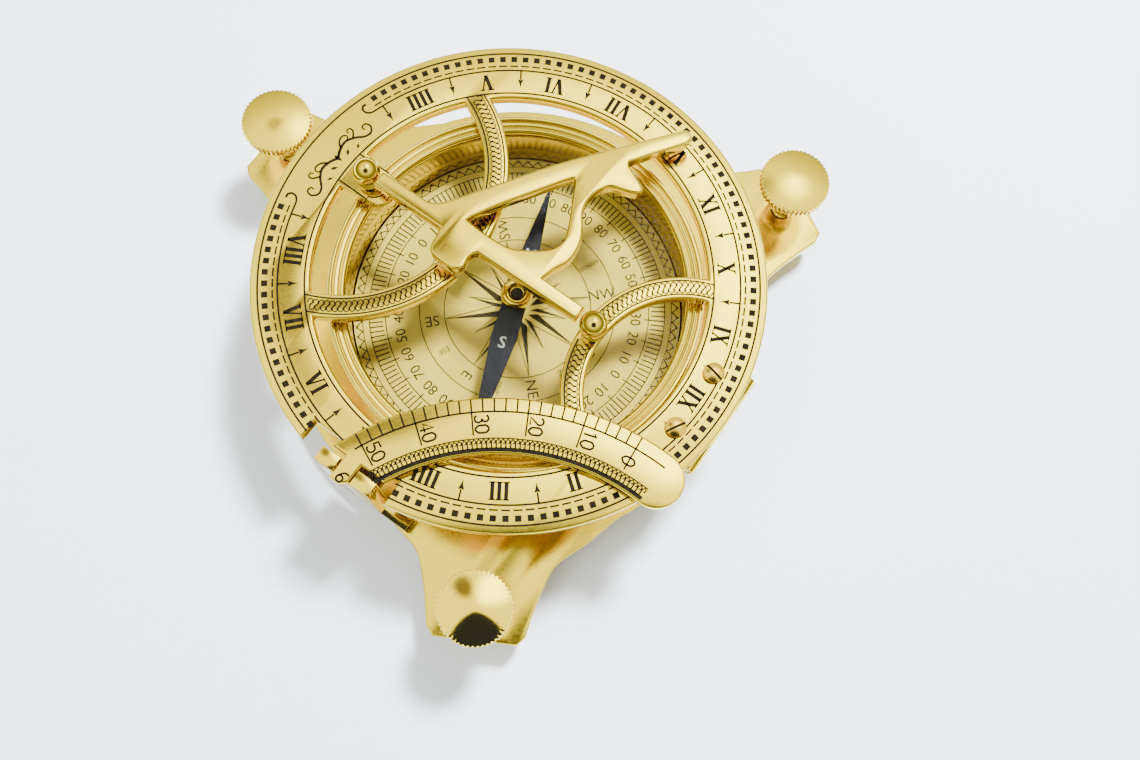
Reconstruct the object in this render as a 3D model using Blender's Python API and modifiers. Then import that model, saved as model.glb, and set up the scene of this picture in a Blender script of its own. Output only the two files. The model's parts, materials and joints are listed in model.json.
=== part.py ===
"""Brass folding sundial compass: a compass on a three-lobed levelling base, with a
tilting hour ring, a folding latitude arc and a folding gnomon.

Lengths below are in millimetres and angles in degrees. The hour ring's centre is at
x = 0, y = 0 of the layout, noon lies toward -Y, and z = 0 is the surface that the feet
stand on. The compass and its base are centred a little nearer to noon than the ring.
Meshes are written in metres.
"""
import math

import bmesh
import bpy
from mathutils import Matrix, Vector

MM = 0.001
GAP = 0.3
AT_AXIS = (0.0, 0.0, 0.0)

# Driving dimensions.
RING_OUTER_R = 50.0
RING_INNER_R = 38.5
RING_THICK = 2.6
RING_TOP = 29.0
RING_BOTTOM = RING_TOP - RING_THICK

COMPASS_Y = -1.4
COMPASS_CENTRE = (0.0, COMPASS_Y)

PLATE_BOTTOM = 6.0
PLATE_THICK = 2.6
PLATE_TOP = PLATE_BOTTOM + PLATE_THICK
PLATE_DISC_R = 47.5
LOBE_ANGLES = (88.7, 208.7, 328.7)
LOBE_END_R = 67.4
LOBE_TIP_HALF_W = 8.3
LOBE_FILLET_END = 33.0           # where a lobe's fillet meets the round plate
SCREW_CIRCLE_R = 62.2
LEVELLING_HOLE_R = 2.3
KNOB_R = 7.2

HOUSING_OUTER_R = 36.0
HOUSING_INNER_R = 34.0
HOUSING_BOTTOM = PLATE_TOP + GAP
HOUSING_FLOOR = 11.7
HOUSING_TOP = 22.5
BEZEL_OUTER_R = 37.0
BEZEL_LIP_R = 33.5
BEZEL_BOTTOM = 18.6
BEZEL_TOP = 25.8
GLASS_R = 35.4
GLASS_BOTTOM = HOUSING_TOP + GAP
GLASS_TOP = 24.0
CARD_R = 33.7
CARD_BOTTOM = HOUSING_FLOOR + GAP
CARD_TOP = 12.8
CARD_HOLE_R = 1.2
HOUSING_SCREW_CIRCLE_R = 22.0
PIVOT_R = 0.9
PIVOT_TIP = 20.7
NEEDLE_BOTTOM = 20.0
NEEDLE_TOP = 20.4
NEEDLE_ANGLE = 19.5
NEEDLE_BORE_R = 2.0
# One side of the needle, along its length: the end at +X is the plain one.
NEEDLE_SIDE = ((-26.5, 0.2), (-21.3, 1.4), (-16.2, 1.9), (-9.3, 2.6), (0.0, 2.4), (4.0, 2.4),
               (25.5, 0.15))
CAP_R = 3.2

# Hinge between base and hour ring: it runs along X on the noon side.
TILT_Y = -48.65
TILT_Z = 24.4
BARREL_R = 1.7
HINGE_HALF_W = 11.0
KNUCKLE_HALF_W = 3.9
PIN_R = 0.65
PIN_BORE_R = 0.95
LEAF_BOTTOM = 24.8
LEAF_TOP = RING_BOTTOM - GAP
RING_SCREWS = ((-6.5, -42.8), (6.5, -42.8))
HINGE_SCREWS = ((-6.5, -41.8), (6.5, -41.8))
HINGE_FOOT_Y = -38.6
HINGE_UPRIGHT_Y = (-44.4, -46.2)
SCREW_SHANK_R = 1.0
SCREW_HOLE_R = 1.3
SCREW_HEAD_R = 2.1

# Curved arms of the hour ring: two bands of circle across its opening. The north band is
# open under the gnomon, so that the gnomon's heel can swing down through it.
NORTH_ARM_Y = 39.9
NORTH_ARM_R = (27.1, 32.0)
SOUTH_ARM_Y = -40.7
SOUTH_ARM_R = (19.2, 23.7)
TAB_HALF_W = 4.3
TAB_END_Y = 30.0
HEEL_GAP_X = (-6.1, 2.1)

# Gnomon: it turns about a line along Y through two ball-headed posts.
GNOMON_Z = 33.0
GNOMON_HALF_T = 1.5
POST_Y = (34.2, -19.2)
BALL_R = 2.7
POST_STEM_R = 1.1
POST_HOLE_R = 1.4
TRUNNION_R = 0.8
TRUNNION_BORE_R = 1.1

# Latitude arc: it turns about a line along Y beside the ring's notch, in a bracket that
# is screwed under the ring and reaches down to just above the base plate.
NOTCH_X = -44.3
NOTCH_Y = (-7.2, 12.6)
ARC_PIN_X = -48.9
ARC_PIN_Z = 29.8
ARC_KNUCKLE_R = 1.45
ARC_CENTRE = (-64.5, -43.2)
ARC_R = (42.0, 52.7)
ARC_BOTTOM = 29.4
ARC_TOP = 31.4
ARC_SHOULDER_X = -46.3
ARC_TAIL_X = -51.3
ARC_TAIL_Y = (-0.2, 3.4)
EAR_X = (-50.1, -47.3)
EAR_NEAR_Y = (3.7, 7.7)
EAR_FAR_Y = (-4.5, -0.5)
EAR_ROOT_Z = LEAF_TOP + 0.2
BRACKET_FOOT_Y = -10.4
BRACKET_FOOT_TOP = 12.0
BRACKET_SCREWS = ((-42.2, 8.5), (-42.2, -10.0))

BRASS = (0.80, 0.66, 0.36)
COLLECTION = "sundial_compass"


def clear_scene():
    for obj in list(bpy.data.objects):
        bpy.data.objects.remove(obj, do_unlink=True)


def make_collection(name):
    collection = bpy.data.collections.new(name)
    bpy.context.scene.collection.children.link(collection)
    return collection


def make_material(name, colour, roughness, metallic):
    material = bpy.data.materials.new(name)
    material.use_nodes = True
    shader = material.node_tree.nodes["Principled BSDF"]
    shader.inputs["Base Color"].default_value = (*colour, 1.0)
    shader.inputs["Roughness"].default_value = roughness
    shader.inputs["Metallic"].default_value = metallic
    return material


clear_scene()
PARTS = make_collection(COLLECTION)
CUTTERS = make_collection("cutters")
MATERIALS = {
    "brass": make_material("brass", BRASS, 0.22, 1.0),
    "steel": make_material("steel", (0.55, 0.55, 0.56), 0.3, 1.0),
    "black_steel": make_material("black_steel", (0.03, 0.03, 0.035), 0.4, 0.6),
    "printed_card": make_material("printed_card", (0.85, 0.75, 0.45), 0.6, 0.0),
    "glass": make_material("glass", (0.9, 0.95, 0.95), 0.03, 0.0),
}


# ---------------------------------------------------------------- outlines

def polar(radius, angle, centre=(0.0, 0.0)):
    a = math.radians(angle)
    return (centre[0] + radius * math.cos(a), centre[1] + radius * math.sin(a))


def arc(radius, start, end, steps, centre=(0.0, 0.0)):
    return [polar(radius, start + (end - start) * i / steps, centre) for i in range(steps + 1)]


def circle(radius, steps, centre=(0.0, 0.0)):
    return arc(radius, 0.0, 360.0, steps, centre)[:-1]


def smooth(points, steps=4):
    """Points along a smooth curve through the given points."""
    padded = [points[0], *points, points[-1]]
    path = []
    for p0, p1, p2, p3 in zip(padded, padded[1:], padded[2:], padded[3:]):
        for i in range(steps):
            t = i / steps
            path.append(tuple(
                0.5 * (2 * b + (c - a) * t + (2 * a - 5 * b + 4 * c - d) * t * t
                       + (3 * b - a - 3 * c + d) * t ** 3)
                for a, b, c, d in zip(p0, p1, p2, p3)))
    path.append(points[-1])
    return path


def turn(points, angle):
    c, s = math.cos(math.radians(angle)), math.sin(math.radians(angle))
    return [(x * c - y * s, x * s + y * c) for x, y in points]


def lobe_outline():
    """One lobe, along +X, with the stretch of round plate that leads to the next."""
    side = [(65.6, 9.8), (60.6, 10.8), (53.4, 12.9), (50.2, 14.9), (46.4, 19.4), (43.3, 22.4)]
    upper = [(LOBE_END_R, LOBE_TIP_HALF_W), *smooth(side, 2)]
    lower = [(x, -y) for x, y in upper]
    plate_edge = arc(PLATE_DISC_R, LOBE_FILLET_END, 120.0 - LOBE_FILLET_END, 8)
    return [*reversed(lower), *upper, *plate_edge]


def base_outline():
    """Outline of the base plate about the compass axis."""
    outline = []
    for angle in LOBE_ANGLES:
        outline += turn(lobe_outline(), angle)
    return outline


def footprint_middle():
    """Middle of the whole object's footprint: its sides are lobe corners, its back is a
    knob and its front is the hinge."""
    across = [x for x, _ in base_outline()]
    back = polar(SCREW_CIRCLE_R, LOBE_ANGLES[0], COMPASS_CENTRE)[1] + KNOB_R
    return 0.5 * (min(across) + max(across)), 0.5 * (back + TILT_Y - BARREL_R)


# ---------------------------------------------------------------- solids

def new_object(name, mesh, collection):
    obj = bpy.data.objects.new(name, mesh)
    collection.objects.link(obj)
    return obj


def mesh_from_bmesh(name, bm):
    mesh = bpy.data.meshes.new(name)
    bm.to_mesh(mesh)
    bm.free()
    return mesh


def flat_mesh(name, loops, low, high, axis="Z"):
    """A plate with the outlines in loops, from low to high along axis.

    Along Z an outline is in (x, y), along X in (y, z) and along Y in (z, x).
    """
    curve = bpy.data.curves.new(name, "CURVE")
    curve.dimensions = "2D"
    curve.fill_mode = "BOTH"
    curve.extrude = 0.5 * (high - low) * MM
    for loop in loops:
        spline = curve.splines.new("POLY")
        spline.points.add(len(loop) - 1)
        for point, (u, v) in zip(spline.points, loop):
            point.co = (u * MM, v * MM, 0.0, 1.0)
        spline.use_cyclic_u = True
    holder = new_object(name + "_outline", curve, CUTTERS)
    bpy.context.view_layer.update()
    evaluated = holder.evaluated_get(bpy.context.evaluated_depsgraph_get())
    mesh = bpy.data.meshes.new_from_object(evaluated)
    bpy.data.objects.remove(holder, do_unlink=True)
    bm = bmesh.new()
    bm.from_mesh(mesh)
    bmesh.ops.remove_doubles(bm, verts=bm.verts, dist=0.00001)
    lift = Matrix.Translation((0.0, 0.0, 0.5 * (high + low) * MM))
    turns = {
        "Z": Matrix.Identity(4),
        "X": Matrix(((0, 0, 1, 0), (1, 0, 0, 0), (0, 1, 0, 0), (0, 0, 0, 1))),
        "Y": Matrix(((0, 1, 0, 0), (0, 0, 1, 0), (1, 0, 0, 0), (0, 0, 0, 1))),
    }
    bmesh.ops.transform(bm, matrix=turns[axis] @ lift, verts=bm.verts)
    bm.to_mesh(mesh)
    bm.free()
    mesh.name = name
    return mesh


def turned_mesh(name, profile, steps):
    """A turned solid. The profile is (radius, z) points down the outer side, and a closed
    ring's profile ends where it starts."""
    bm = bmesh.new()
    points = profile[:-1] if profile[0] == profile[-1] else profile
    verts = [bm.verts.new((r * MM, 0.0, z * MM)) for r, z in points]
    for a, b in zip(verts, verts[1:]):
        bm.edges.new((a, b))
    if profile[0] == profile[-1]:
        bm.edges.new((verts[-1], verts[0]))
    holder = new_object(name + "_profile", mesh_from_bmesh(name + "_profile", bm), CUTTERS)
    screw = holder.modifiers.new("turn", "SCREW")
    screw.axis = "Z"
    screw.steps = steps
    screw.render_steps = steps
    screw.use_merge_vertices = True
    screw.merge_threshold = 0.00001
    bpy.context.view_layer.update()
    evaluated = holder.evaluated_get(bpy.context.evaluated_depsgraph_get())
    mesh = bpy.data.meshes.new_from_object(evaluated)
    bpy.data.objects.remove(holder, do_unlink=True)
    mesh.name = name
    return mesh


def box_mesh(name, low, high):
    bm = bmesh.new()
    size = [(b - a) * MM for a, b in zip(low, high)]
    middle = [0.5 * (a + b) * MM for a, b in zip(low, high)]
    matrix = Matrix.Translation(middle) @ Matrix.Diagonal((*size, 1.0))
    bmesh.ops.create_cube(bm, size=1.0, matrix=matrix)
    return mesh_from_bmesh(name, bm)


def rod_mesh(name, radius, start, end, segments=16):
    """A cylinder from start to end."""
    bm = bmesh.new()
    a, b = Vector(start) * MM, Vector(end) * MM
    turned = Vector((0, 0, 1)).rotation_difference(b - a).to_matrix().to_4x4()
    bmesh.ops.create_cone(
        bm, cap_ends=True, segments=segments, radius1=radius * MM, radius2=radius * MM,
        depth=(b - a).length, matrix=Matrix.Translation((a + b) / 2) @ turned)
    return mesh_from_bmesh(name, bm)


def ball_mesh(name, radius, centre):
    bm = bmesh.new()
    bmesh.ops.create_uvsphere(
        bm, u_segments=20, v_segments=12, radius=radius * MM,
        matrix=Matrix.Translation(Vector(centre) * MM))
    return mesh_from_bmesh(name, bm)


def add_part(name, mesh, material, parent, place=None):
    """A part under an empty. Its mesh is in layout coordinates and its origin is the
    empty's; or, with place, the mesh is built around its own axis and stands at place."""
    if place is None:
        mesh.transform(Matrix.Translation(-layout_point(parent)))
    obj = new_object(name, mesh, PARTS)
    obj.parent = parent
    obj.location = Vector(place or (0.0, 0.0, 0.0)) * MM
    mesh.materials.append(MATERIALS[material])
    mesh.shade_smooth()
    mesh.set_sharp_from_angle(angle=math.radians(30))
    return obj


def join_solids(obj, mesh, operation="UNION", parent=None):
    """Adds a solid to a part, or cuts it away, with a Boolean. The solid is in layout
    coordinates, or around the empty given as its parent."""
    tool = new_object(mesh.name, mesh, CUTTERS)
    tool.parent = parent or ROOT
    tool.hide_render = True
    tool.display_type = "WIRE"
    boolean = obj.modifiers.new(mesh.name, "BOOLEAN")
    boolean.operation = operation
    boolean.object = tool


def cut(obj, mesh, parent=None):
    join_solids(obj, mesh, "DIFFERENCE", parent)


def make_axis(name, point):
    empty = bpy.data.objects.new(name, None)
    PARTS.objects.link(empty)
    empty.parent = ROOT
    empty.location = Vector(point) * MM
    return empty


def layout_point(empty):
    return Vector((0.0, 0.0, 0.0)) if empty == ROOT else Vector(empty.location)


ROOT = bpy.data.objects.new("sundial_compass_root", None)
PARTS.objects.link(ROOT)
ROOT.location = [-distance * MM for distance in (*footprint_middle(), 0.0)]
RING_AXIS = make_axis("ring_tilt_axis", (0.0, TILT_Y, TILT_Z))
GNOMON_AXIS = make_axis("gnomon_axis", (0.0, 0.0, GNOMON_Z))
ARC_AXIS = make_axis("arc_axis", (ARC_PIN_X, 0.0, ARC_PIN_Z))
COMPASS_AXIS = make_axis("compass_axis", (*COMPASS_CENTRE, 0.0))
NEEDLE_AXIS = make_axis("needle_axis", (*COMPASS_CENTRE, NEEDLE_BOTTOM))
LOBE_AXES = [
    make_axis(f"levelling_axis_{number}", (*polar(SCREW_CIRCLE_R, angle, COMPASS_CENTRE), 0.0))
    for number, angle in enumerate(LOBE_ANGLES, 1)]


# ---------------------------------------------------------------- base and compass

def base_plate():
    loops = [base_outline()]
    for angle in LOBE_ANGLES:
        loops.append(circle(LEVELLING_HOLE_R, 16, polar(SCREW_CIRCLE_R, angle)))
        loops.append(circle(SCREW_HOLE_R, 10, polar(HOUSING_SCREW_CIRCLE_R, angle)))
    for x, y in HINGE_SCREWS:
        loops.append(circle(SCREW_HOLE_R, 10, (x, y - COMPASS_Y)))
    mesh = flat_mesh("base_plate", loops, PLATE_BOTTOM, PLATE_TOP)
    add_part("base_plate", mesh, "brass", COMPASS_AXIS, AT_AXIS)


def compass_housing():
    socket_bottom = HOUSING_BOTTOM + 1.0
    profile = [(0.0, socket_bottom), (CARD_HOLE_R, socket_bottom), (CARD_HOLE_R, HOUSING_FLOOR),
               (HOUSING_INNER_R, HOUSING_FLOOR), (HOUSING_INNER_R, HOUSING_TOP),
               (HOUSING_OUTER_R, HOUSING_TOP), (HOUSING_OUTER_R, HOUSING_BOTTOM),
               (0.0, HOUSING_BOTTOM)]
    obj = add_part("compass_housing", turned_mesh("compass_housing", profile, 64), "brass",
                   COMPASS_AXIS, AT_AXIS)
    for number, angle in enumerate(LOBE_ANGLES, 1):
        x, y = polar(HOUSING_SCREW_CIRCLE_R, angle)
        hole = rod_mesh(f"housing_hole_{number}", SCREW_HOLE_R, (x, y, HOUSING_BOTTOM - 1.0),
                        (x, y, HOUSING_FLOOR + 1.0), 10)
        cut(obj, hole, COMPASS_AXIS)


def bezel():
    profile = [(36.2, BEZEL_TOP), (BEZEL_OUTER_R, BEZEL_TOP - 0.6), (BEZEL_OUTER_R, BEZEL_BOTTOM),
               (HOUSING_OUTER_R + GAP, BEZEL_BOTTOM), (HOUSING_OUTER_R + GAP, GLASS_TOP + GAP),
               (BEZEL_LIP_R, GLASS_TOP + GAP), (BEZEL_LIP_R, 24.8), (35.5, 25.4)]
    mesh = turned_mesh("bezel", [*profile, profile[0]], 64)
    add_part("bezel", mesh, "brass", COMPASS_AXIS, AT_AXIS)


def glass_and_card():
    glass = flat_mesh("glass", [circle(GLASS_R, 64)], GLASS_BOTTOM, GLASS_TOP)
    add_part("glass", glass, "glass", COMPASS_AXIS, AT_AXIS)
    loops = [circle(CARD_R, 64), circle(CARD_HOLE_R, 12)]
    card = flat_mesh("compass_card", loops, CARD_BOTTOM, CARD_TOP)
    add_part("compass_card", card, "printed_card", COMPASS_AXIS, AT_AXIS)


def pivot_and_needle():
    """Pointed pin, and the needle that turns on it with the cap that holds its bearing."""
    pin_bottom = HOUSING_BOTTOM + 1.0 + GAP
    pin = [(0.0, PIVOT_TIP), (0.15, PIVOT_TIP - 0.2), (PIVOT_R, PIVOT_TIP - 3.2),
           (PIVOT_R, pin_bottom), (0.0, pin_bottom)]
    add_part("pivot_pin", turned_mesh("pivot_pin", pin, 16), "steel", COMPASS_AXIS, AT_AXIS)
    upper = NEEDLE_SIDE
    outline = turn([*upper, *[(x, -y) for x, y in reversed(upper)]], NEEDLE_ANGLE)
    blade = flat_mesh("needle", [outline, circle(NEEDLE_BORE_R, 16)], NEEDLE_BOTTOM, NEEDLE_TOP)
    below_axis = (0.0, 0.0, -NEEDLE_BOTTOM)
    add_part("needle", blade, "black_steel", NEEDLE_AXIS, below_axis)
    sleeve_r, sleeve_end = NEEDLE_BORE_R - GAP, NEEDLE_BOTTOM - 0.4
    cap = [(0.0, 21.4), (1.5, 21.4), (1.7, 22.2), (2.8, 22.2), (CAP_R, 21.8),
           (CAP_R, NEEDLE_TOP + GAP), (sleeve_r, NEEDLE_TOP + GAP), (sleeve_r, sleeve_end),
           (1.2, sleeve_end), (0.25, PIVOT_TIP + GAP), (0.0, PIVOT_TIP + GAP)]
    add_part("needle_cap", turned_mesh("needle_cap", cap, 20), "brass", NEEDLE_AXIS, below_axis)


def housing_screw(number, angle):
    """Screw that holds the compass housing from below. It is built round its own axis."""
    head_top = PLATE_BOTTOM - GAP
    profile = [(0.0, HOUSING_FLOOR - GAP), (SCREW_SHANK_R, HOUSING_FLOOR - GAP),
               (SCREW_SHANK_R, head_top), (SCREW_HEAD_R, head_top), (1.9, head_top - 1.0),
               (0.0, head_top - 1.2)]
    x, y = polar(HOUSING_SCREW_CIRCLE_R, angle)
    name = f"housing_screw_{number}"
    add_part(name, turned_mesh(name, profile, 12), "brass", COMPASS_AXIS, (x, y, 0.0))


# ---------------------------------------------------------------- ring hinge

def hinge_bracket():
    """Upright on the base with the two outer knuckles of the ring's hinge."""
    foot_bottom = PLATE_TOP + GAP
    foot_top = foot_bottom + 1.8
    inner, outer = HINGE_UPRIGHT_Y
    barrel = arc(BARREL_R, 0.0, 290.0, 15, (TILT_Y, TILT_Z))
    outline = [(HINGE_FOOT_Y, foot_bottom), (HINGE_FOOT_Y, foot_top), (inner, foot_top),
               (inner, 22.8), (inner - 1.0, TILT_Z), *barrel, (outer - 0.4, 20.0),
               (outer, foot_bottom)]
    loops = [outline, circle(PIN_BORE_R, 12, (TILT_Y, TILT_Z))]
    mesh = flat_mesh("ring_hinge_bracket", loops, -HINGE_HALF_W, HINGE_HALF_W, "X")
    obj = add_part("ring_hinge_bracket", mesh, "brass", ROOT)
    half = KNUCKLE_HALF_W + GAP
    cut(obj, box_mesh("knuckle_gap", (-half, TILT_Y - 4.0, 19.5),
                      (half, TILT_Y + BARREL_R + GAP, 28.0)))
    head_bottom = foot_top + GAP
    profile = [(0.0, head_bottom + 2.1), (1.4, head_bottom + 1.8), (SCREW_HEAD_R, head_bottom + 1.1),
               (SCREW_HEAD_R, head_bottom), (SCREW_SHANK_R, head_bottom),
               (SCREW_SHANK_R, PLATE_BOTTOM + 0.2), (0.0, PLATE_BOTTOM + 0.2)]
    for side, (x, y) in zip(("left", "right"), HINGE_SCREWS):
        cut(obj, rod_mesh(f"bracket_hole_{side}", SCREW_HOLE_R, (x, y, PLATE_BOTTOM),
                          (x, y, foot_top + 2.0), 10))
        name = f"bracket_screw_{side}"
        add_part(name, turned_mesh(name, profile, 12), "brass", ROOT, (x, y, 0.0))


def hinge_pin(name, parent, start, end):
    """Plain pin, pressed into the outer knuckles, with its ends flush."""
    add_part(name, rod_mesh(name, PIN_R, start, end, 12), "brass", parent)


def ring_leaf():
    """Leaf under the ring with the hinge's middle knuckle."""
    inner_y = -39.4
    barrel = arc(BARREL_R, 45.0, 340.0, 14, (TILT_Y, TILT_Z))
    outline = [(inner_y, LEAF_BOTTOM), (inner_y, LEAF_TOP), (TILT_Y + 0.6, LEAF_TOP), *barrel,
               (TILT_Y + 2.0, LEAF_BOTTOM)]
    loops = [outline, circle(PIN_BORE_R, 12, (TILT_Y, TILT_Z))]
    mesh = flat_mesh("ring_hinge_leaf", loops, -HINGE_HALF_W, HINGE_HALF_W, "X")
    obj = add_part("ring_hinge_leaf", mesh, "brass", RING_AXIS)
    past_side = HINGE_HALF_W + 1.0
    for side, low, high in (("left", -past_side, -KNUCKLE_HALF_W),
                            ("right", KNUCKLE_HALF_W, past_side)):
        cut(obj, box_mesh(f"leaf_gap_{side}", (low, TILT_Y - 4.0, 20.0),
                          (high, TILT_Y + BARREL_R + 0.5, 28.0)))
    profile = [(0.0, RING_TOP + 1.25), (1.2, RING_TOP + 1.0), (2.0, RING_TOP + 0.5),
               (2.0, RING_TOP + GAP), (SCREW_SHANK_R, RING_TOP + GAP),
               (SCREW_SHANK_R, LEAF_BOTTOM + 0.1), (0.0, LEAF_BOTTOM + 0.1)]
    for side, (x, y) in zip(("left", "right"), RING_SCREWS):
        cut(obj, rod_mesh(f"leaf_hole_{side}", SCREW_HOLE_R, (x, y, 24.0), (x, y, 27.0), 10))
        name = f"ring_screw_{side}"
        add_part(name, turned_mesh(name, profile, 16), "brass", RING_AXIS,
                 (x, y - TILT_Y, -TILT_Z))


# ---------------------------------------------------------------- hour ring

def meeting_angle(band_y, band_r):
    """Angle about the ring's centre where a band's circle meets the ring's inner edge."""
    y = (RING_INNER_R ** 2 - band_r ** 2 + band_y ** 2) / (2 * band_y)
    return math.degrees(math.asin(y / RING_INNER_R))


def band_edge(band_y, band_r, start_x, end_x, steps):
    """One edge of a curved band, between two values of x, on the side of the band's circle
    that is nearer to the ring's centre."""
    side = -1.0 if band_y > 0 else 1.0
    first, last = (math.degrees(math.acos(x / band_r)) * side for x in (start_x, end_x))
    return arc(band_r, first, last, steps, (0.0, band_y))


def meeting_x(band_y, band_r):
    return RING_INNER_R * math.cos(math.radians(meeting_angle(band_y, band_r)))


def ring_openings():
    """The large opening, into which the north arms and the tab reach, and the one between
    the south arm and the rim."""
    inner, outer = NORTH_ARM_R
    left_gap, right_gap = HEEL_GAP_X
    inner_x, outer_x = meeting_x(NORTH_ARM_Y, inner), meeting_x(NORTH_ARM_Y, outer)
    inner_end, outer_end = meeting_angle(NORTH_ARM_Y, inner), meeting_angle(NORTH_ARM_Y, outer)
    tab_angle = math.degrees(math.acos(TAB_HALF_W / RING_INNER_R))
    far_x, far_end = (f(SOUTH_ARM_Y, SOUTH_ARM_R[1]) for f in (meeting_x, meeting_angle))
    near_x, near_end = (f(SOUTH_ARM_Y, SOUTH_ARM_R[0]) for f in (meeting_x, meeting_angle))

    main = band_edge(NORTH_ARM_Y, outer, outer_x, right_gap, 12)
    main += band_edge(NORTH_ARM_Y, inner, right_gap, inner_x, 12)
    main += arc(RING_INNER_R, inner_end, tab_angle, 8)[1:]
    main += [(TAB_HALF_W, TAB_END_Y), (-TAB_HALF_W, TAB_END_Y)]
    main += arc(RING_INNER_R, 180.0 - tab_angle, 180.0 - inner_end, 8)
    main += band_edge(NORTH_ARM_Y, inner, -inner_x, left_gap, 12)[1:]
    main += band_edge(NORTH_ARM_Y, outer, left_gap, -outer_x, 12)
    main += arc(RING_INNER_R, 180.0 - outer_end, 180.0 - far_end, 16)[1:]
    main += band_edge(SOUTH_ARM_Y, SOUTH_ARM_R[1], -far_x, far_x, 18)[1:]
    main += arc(RING_INNER_R, far_end, outer_end, 16)[1:-1]

    south = band_edge(SOUTH_ARM_Y, SOUTH_ARM_R[0], near_x, -near_x, 16)
    south += arc(RING_INNER_R, 180.0 - near_end, 360.0 + near_end, 12)[1:-1]
    return [main, south]


def chapter_ring():
    start = math.degrees(math.asin(NOTCH_Y[0] / RING_OUTER_R))
    end = math.degrees(math.asin(NOTCH_Y[1] / RING_OUTER_R))
    outline = arc(RING_OUTER_R, -180.0 - start, 180.0 - end, 84)
    outline += [(NOTCH_X, NOTCH_Y[1]), (NOTCH_X, NOTCH_Y[0])]
    holes = [circle(SCREW_HOLE_R, 10, point) for point in RING_SCREWS]
    holes += [circle(POST_HOLE_R, 10, (0.0, y)) for y in POST_Y]
    mesh = flat_mesh("chapter_ring", [outline, *ring_openings(), *holes], RING_BOTTOM, RING_TOP)
    obj = add_part("chapter_ring", mesh, "brass", RING_AXIS)
    for number, (x, y) in enumerate(BRACKET_SCREWS, 1):
        cut(obj, rod_mesh(f"blind_hole_{number}", SCREW_HOLE_R, (x, y, RING_BOTTOM - 1.0),
                          (x, y, RING_BOTTOM + 1.6), 10))


def gnomon_post(name, y, toward):
    """Ball-headed post. Its bore takes the gnomon's trunnion from the side in toward."""
    profile = [(0.0, GNOMON_Z), (1.7, GNOMON_Z), (1.7, RING_TOP + 1.6), (2.3, RING_TOP + GAP),
               (POST_STEM_R, RING_TOP + GAP), (POST_STEM_R, RING_BOTTOM + 0.1),
               (0.0, RING_BOTTOM + 0.1)]
    obj = add_part(name, turned_mesh(name, profile, 16), "brass", RING_AXIS,
                   (0.0, y - TILT_Y, -TILT_Z))
    join_solids(obj, ball_mesh(name + "_ball", BALL_R, (0.0, y, GNOMON_Z)))
    cut(obj, rod_mesh(name + "_bore", TRUNNION_BORE_R, (0.0, y + toward * 0.7, GNOMON_Z),
                      (0.0, y + toward * 4.0, GNOMON_Z), 12))


# ---------------------------------------------------------------- gnomon

def gnomon():
    """Open-work gnomon with its axle, lying toward +X."""
    far, near = POST_Y[0] - BALL_R - GAP, POST_Y[1] + BALL_R + GAP
    w = GNOMON_HALF_T
    style_top = smooth([(w, 20.6), (2.6, 18.5), (5.4, 16.4), (12.2, 11.9), (21.3, 5.9),
                        (30.4, -1.0), (40.2, -8.6), (43.3, -11.2), (43.4, -12.6), (40.9, -13.0)], 2)
    style_low = [(35.0, -8.8), (31.1, -6.1)]
    spur = smooth([(30.4, -6.6), (28.6, -10.4), (27.6, -11.6), (26.3, -11.0), (25.4, -8.8),
                   (24.6, -6.3), (23.0, -5.0), (20.9, -4.3), (18.8, -4.4), (16.8, -5.1),
                   (14.4, -6.8), (11.4, -8.2), (7.6, -8.5), (4.4, -7.2), (w, -6.4)], 2)
    heel = smooth([(-w, 6.4), (-3.0, 7.3), (-5.2, 7.0), (-6.7, 8.2), (-6.8, 12.4), (-5.9, 14.4),
                   (-3.2, 15.0), (-w, 15.4)], 2)
    outline = [(w, far), *style_top, *style_low, *spur, (w, near), (-w, near), *heel, (-w, far)]
    window = smooth([(2.9, 12.2), (8.6, 9.1), (15.0, 5.1), (21.2, 1.1), (21.3, 0.0),
                     (19.0, -1.2), (16.4, -2.6), (13.2, -4.2), (10.5, -5.2), (8.0, -4.7),
                     (6.1, -3.0), (4.3, -0.4), (2.9, 2.5), (2.6, 7.5), (2.9, 12.2)], 2)[:-1]
    mesh = flat_mesh("gnomon", [outline, window], GNOMON_Z - GNOMON_HALF_T,
                     GNOMON_Z + GNOMON_HALF_T)
    obj = add_part("gnomon", mesh, "brass", GNOMON_AXIS)
    for label, start, end in (("far", far - 0.5, far + 1.8), ("near", near + 0.5, near - 1.8)):
        join_solids(obj, rod_mesh(f"trunnion_{label}", TRUNNION_R, (0.0, start, GNOMON_Z),
                                  (0.0, end, GNOMON_Z), 12))


# ---------------------------------------------------------------- latitude arc

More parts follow.
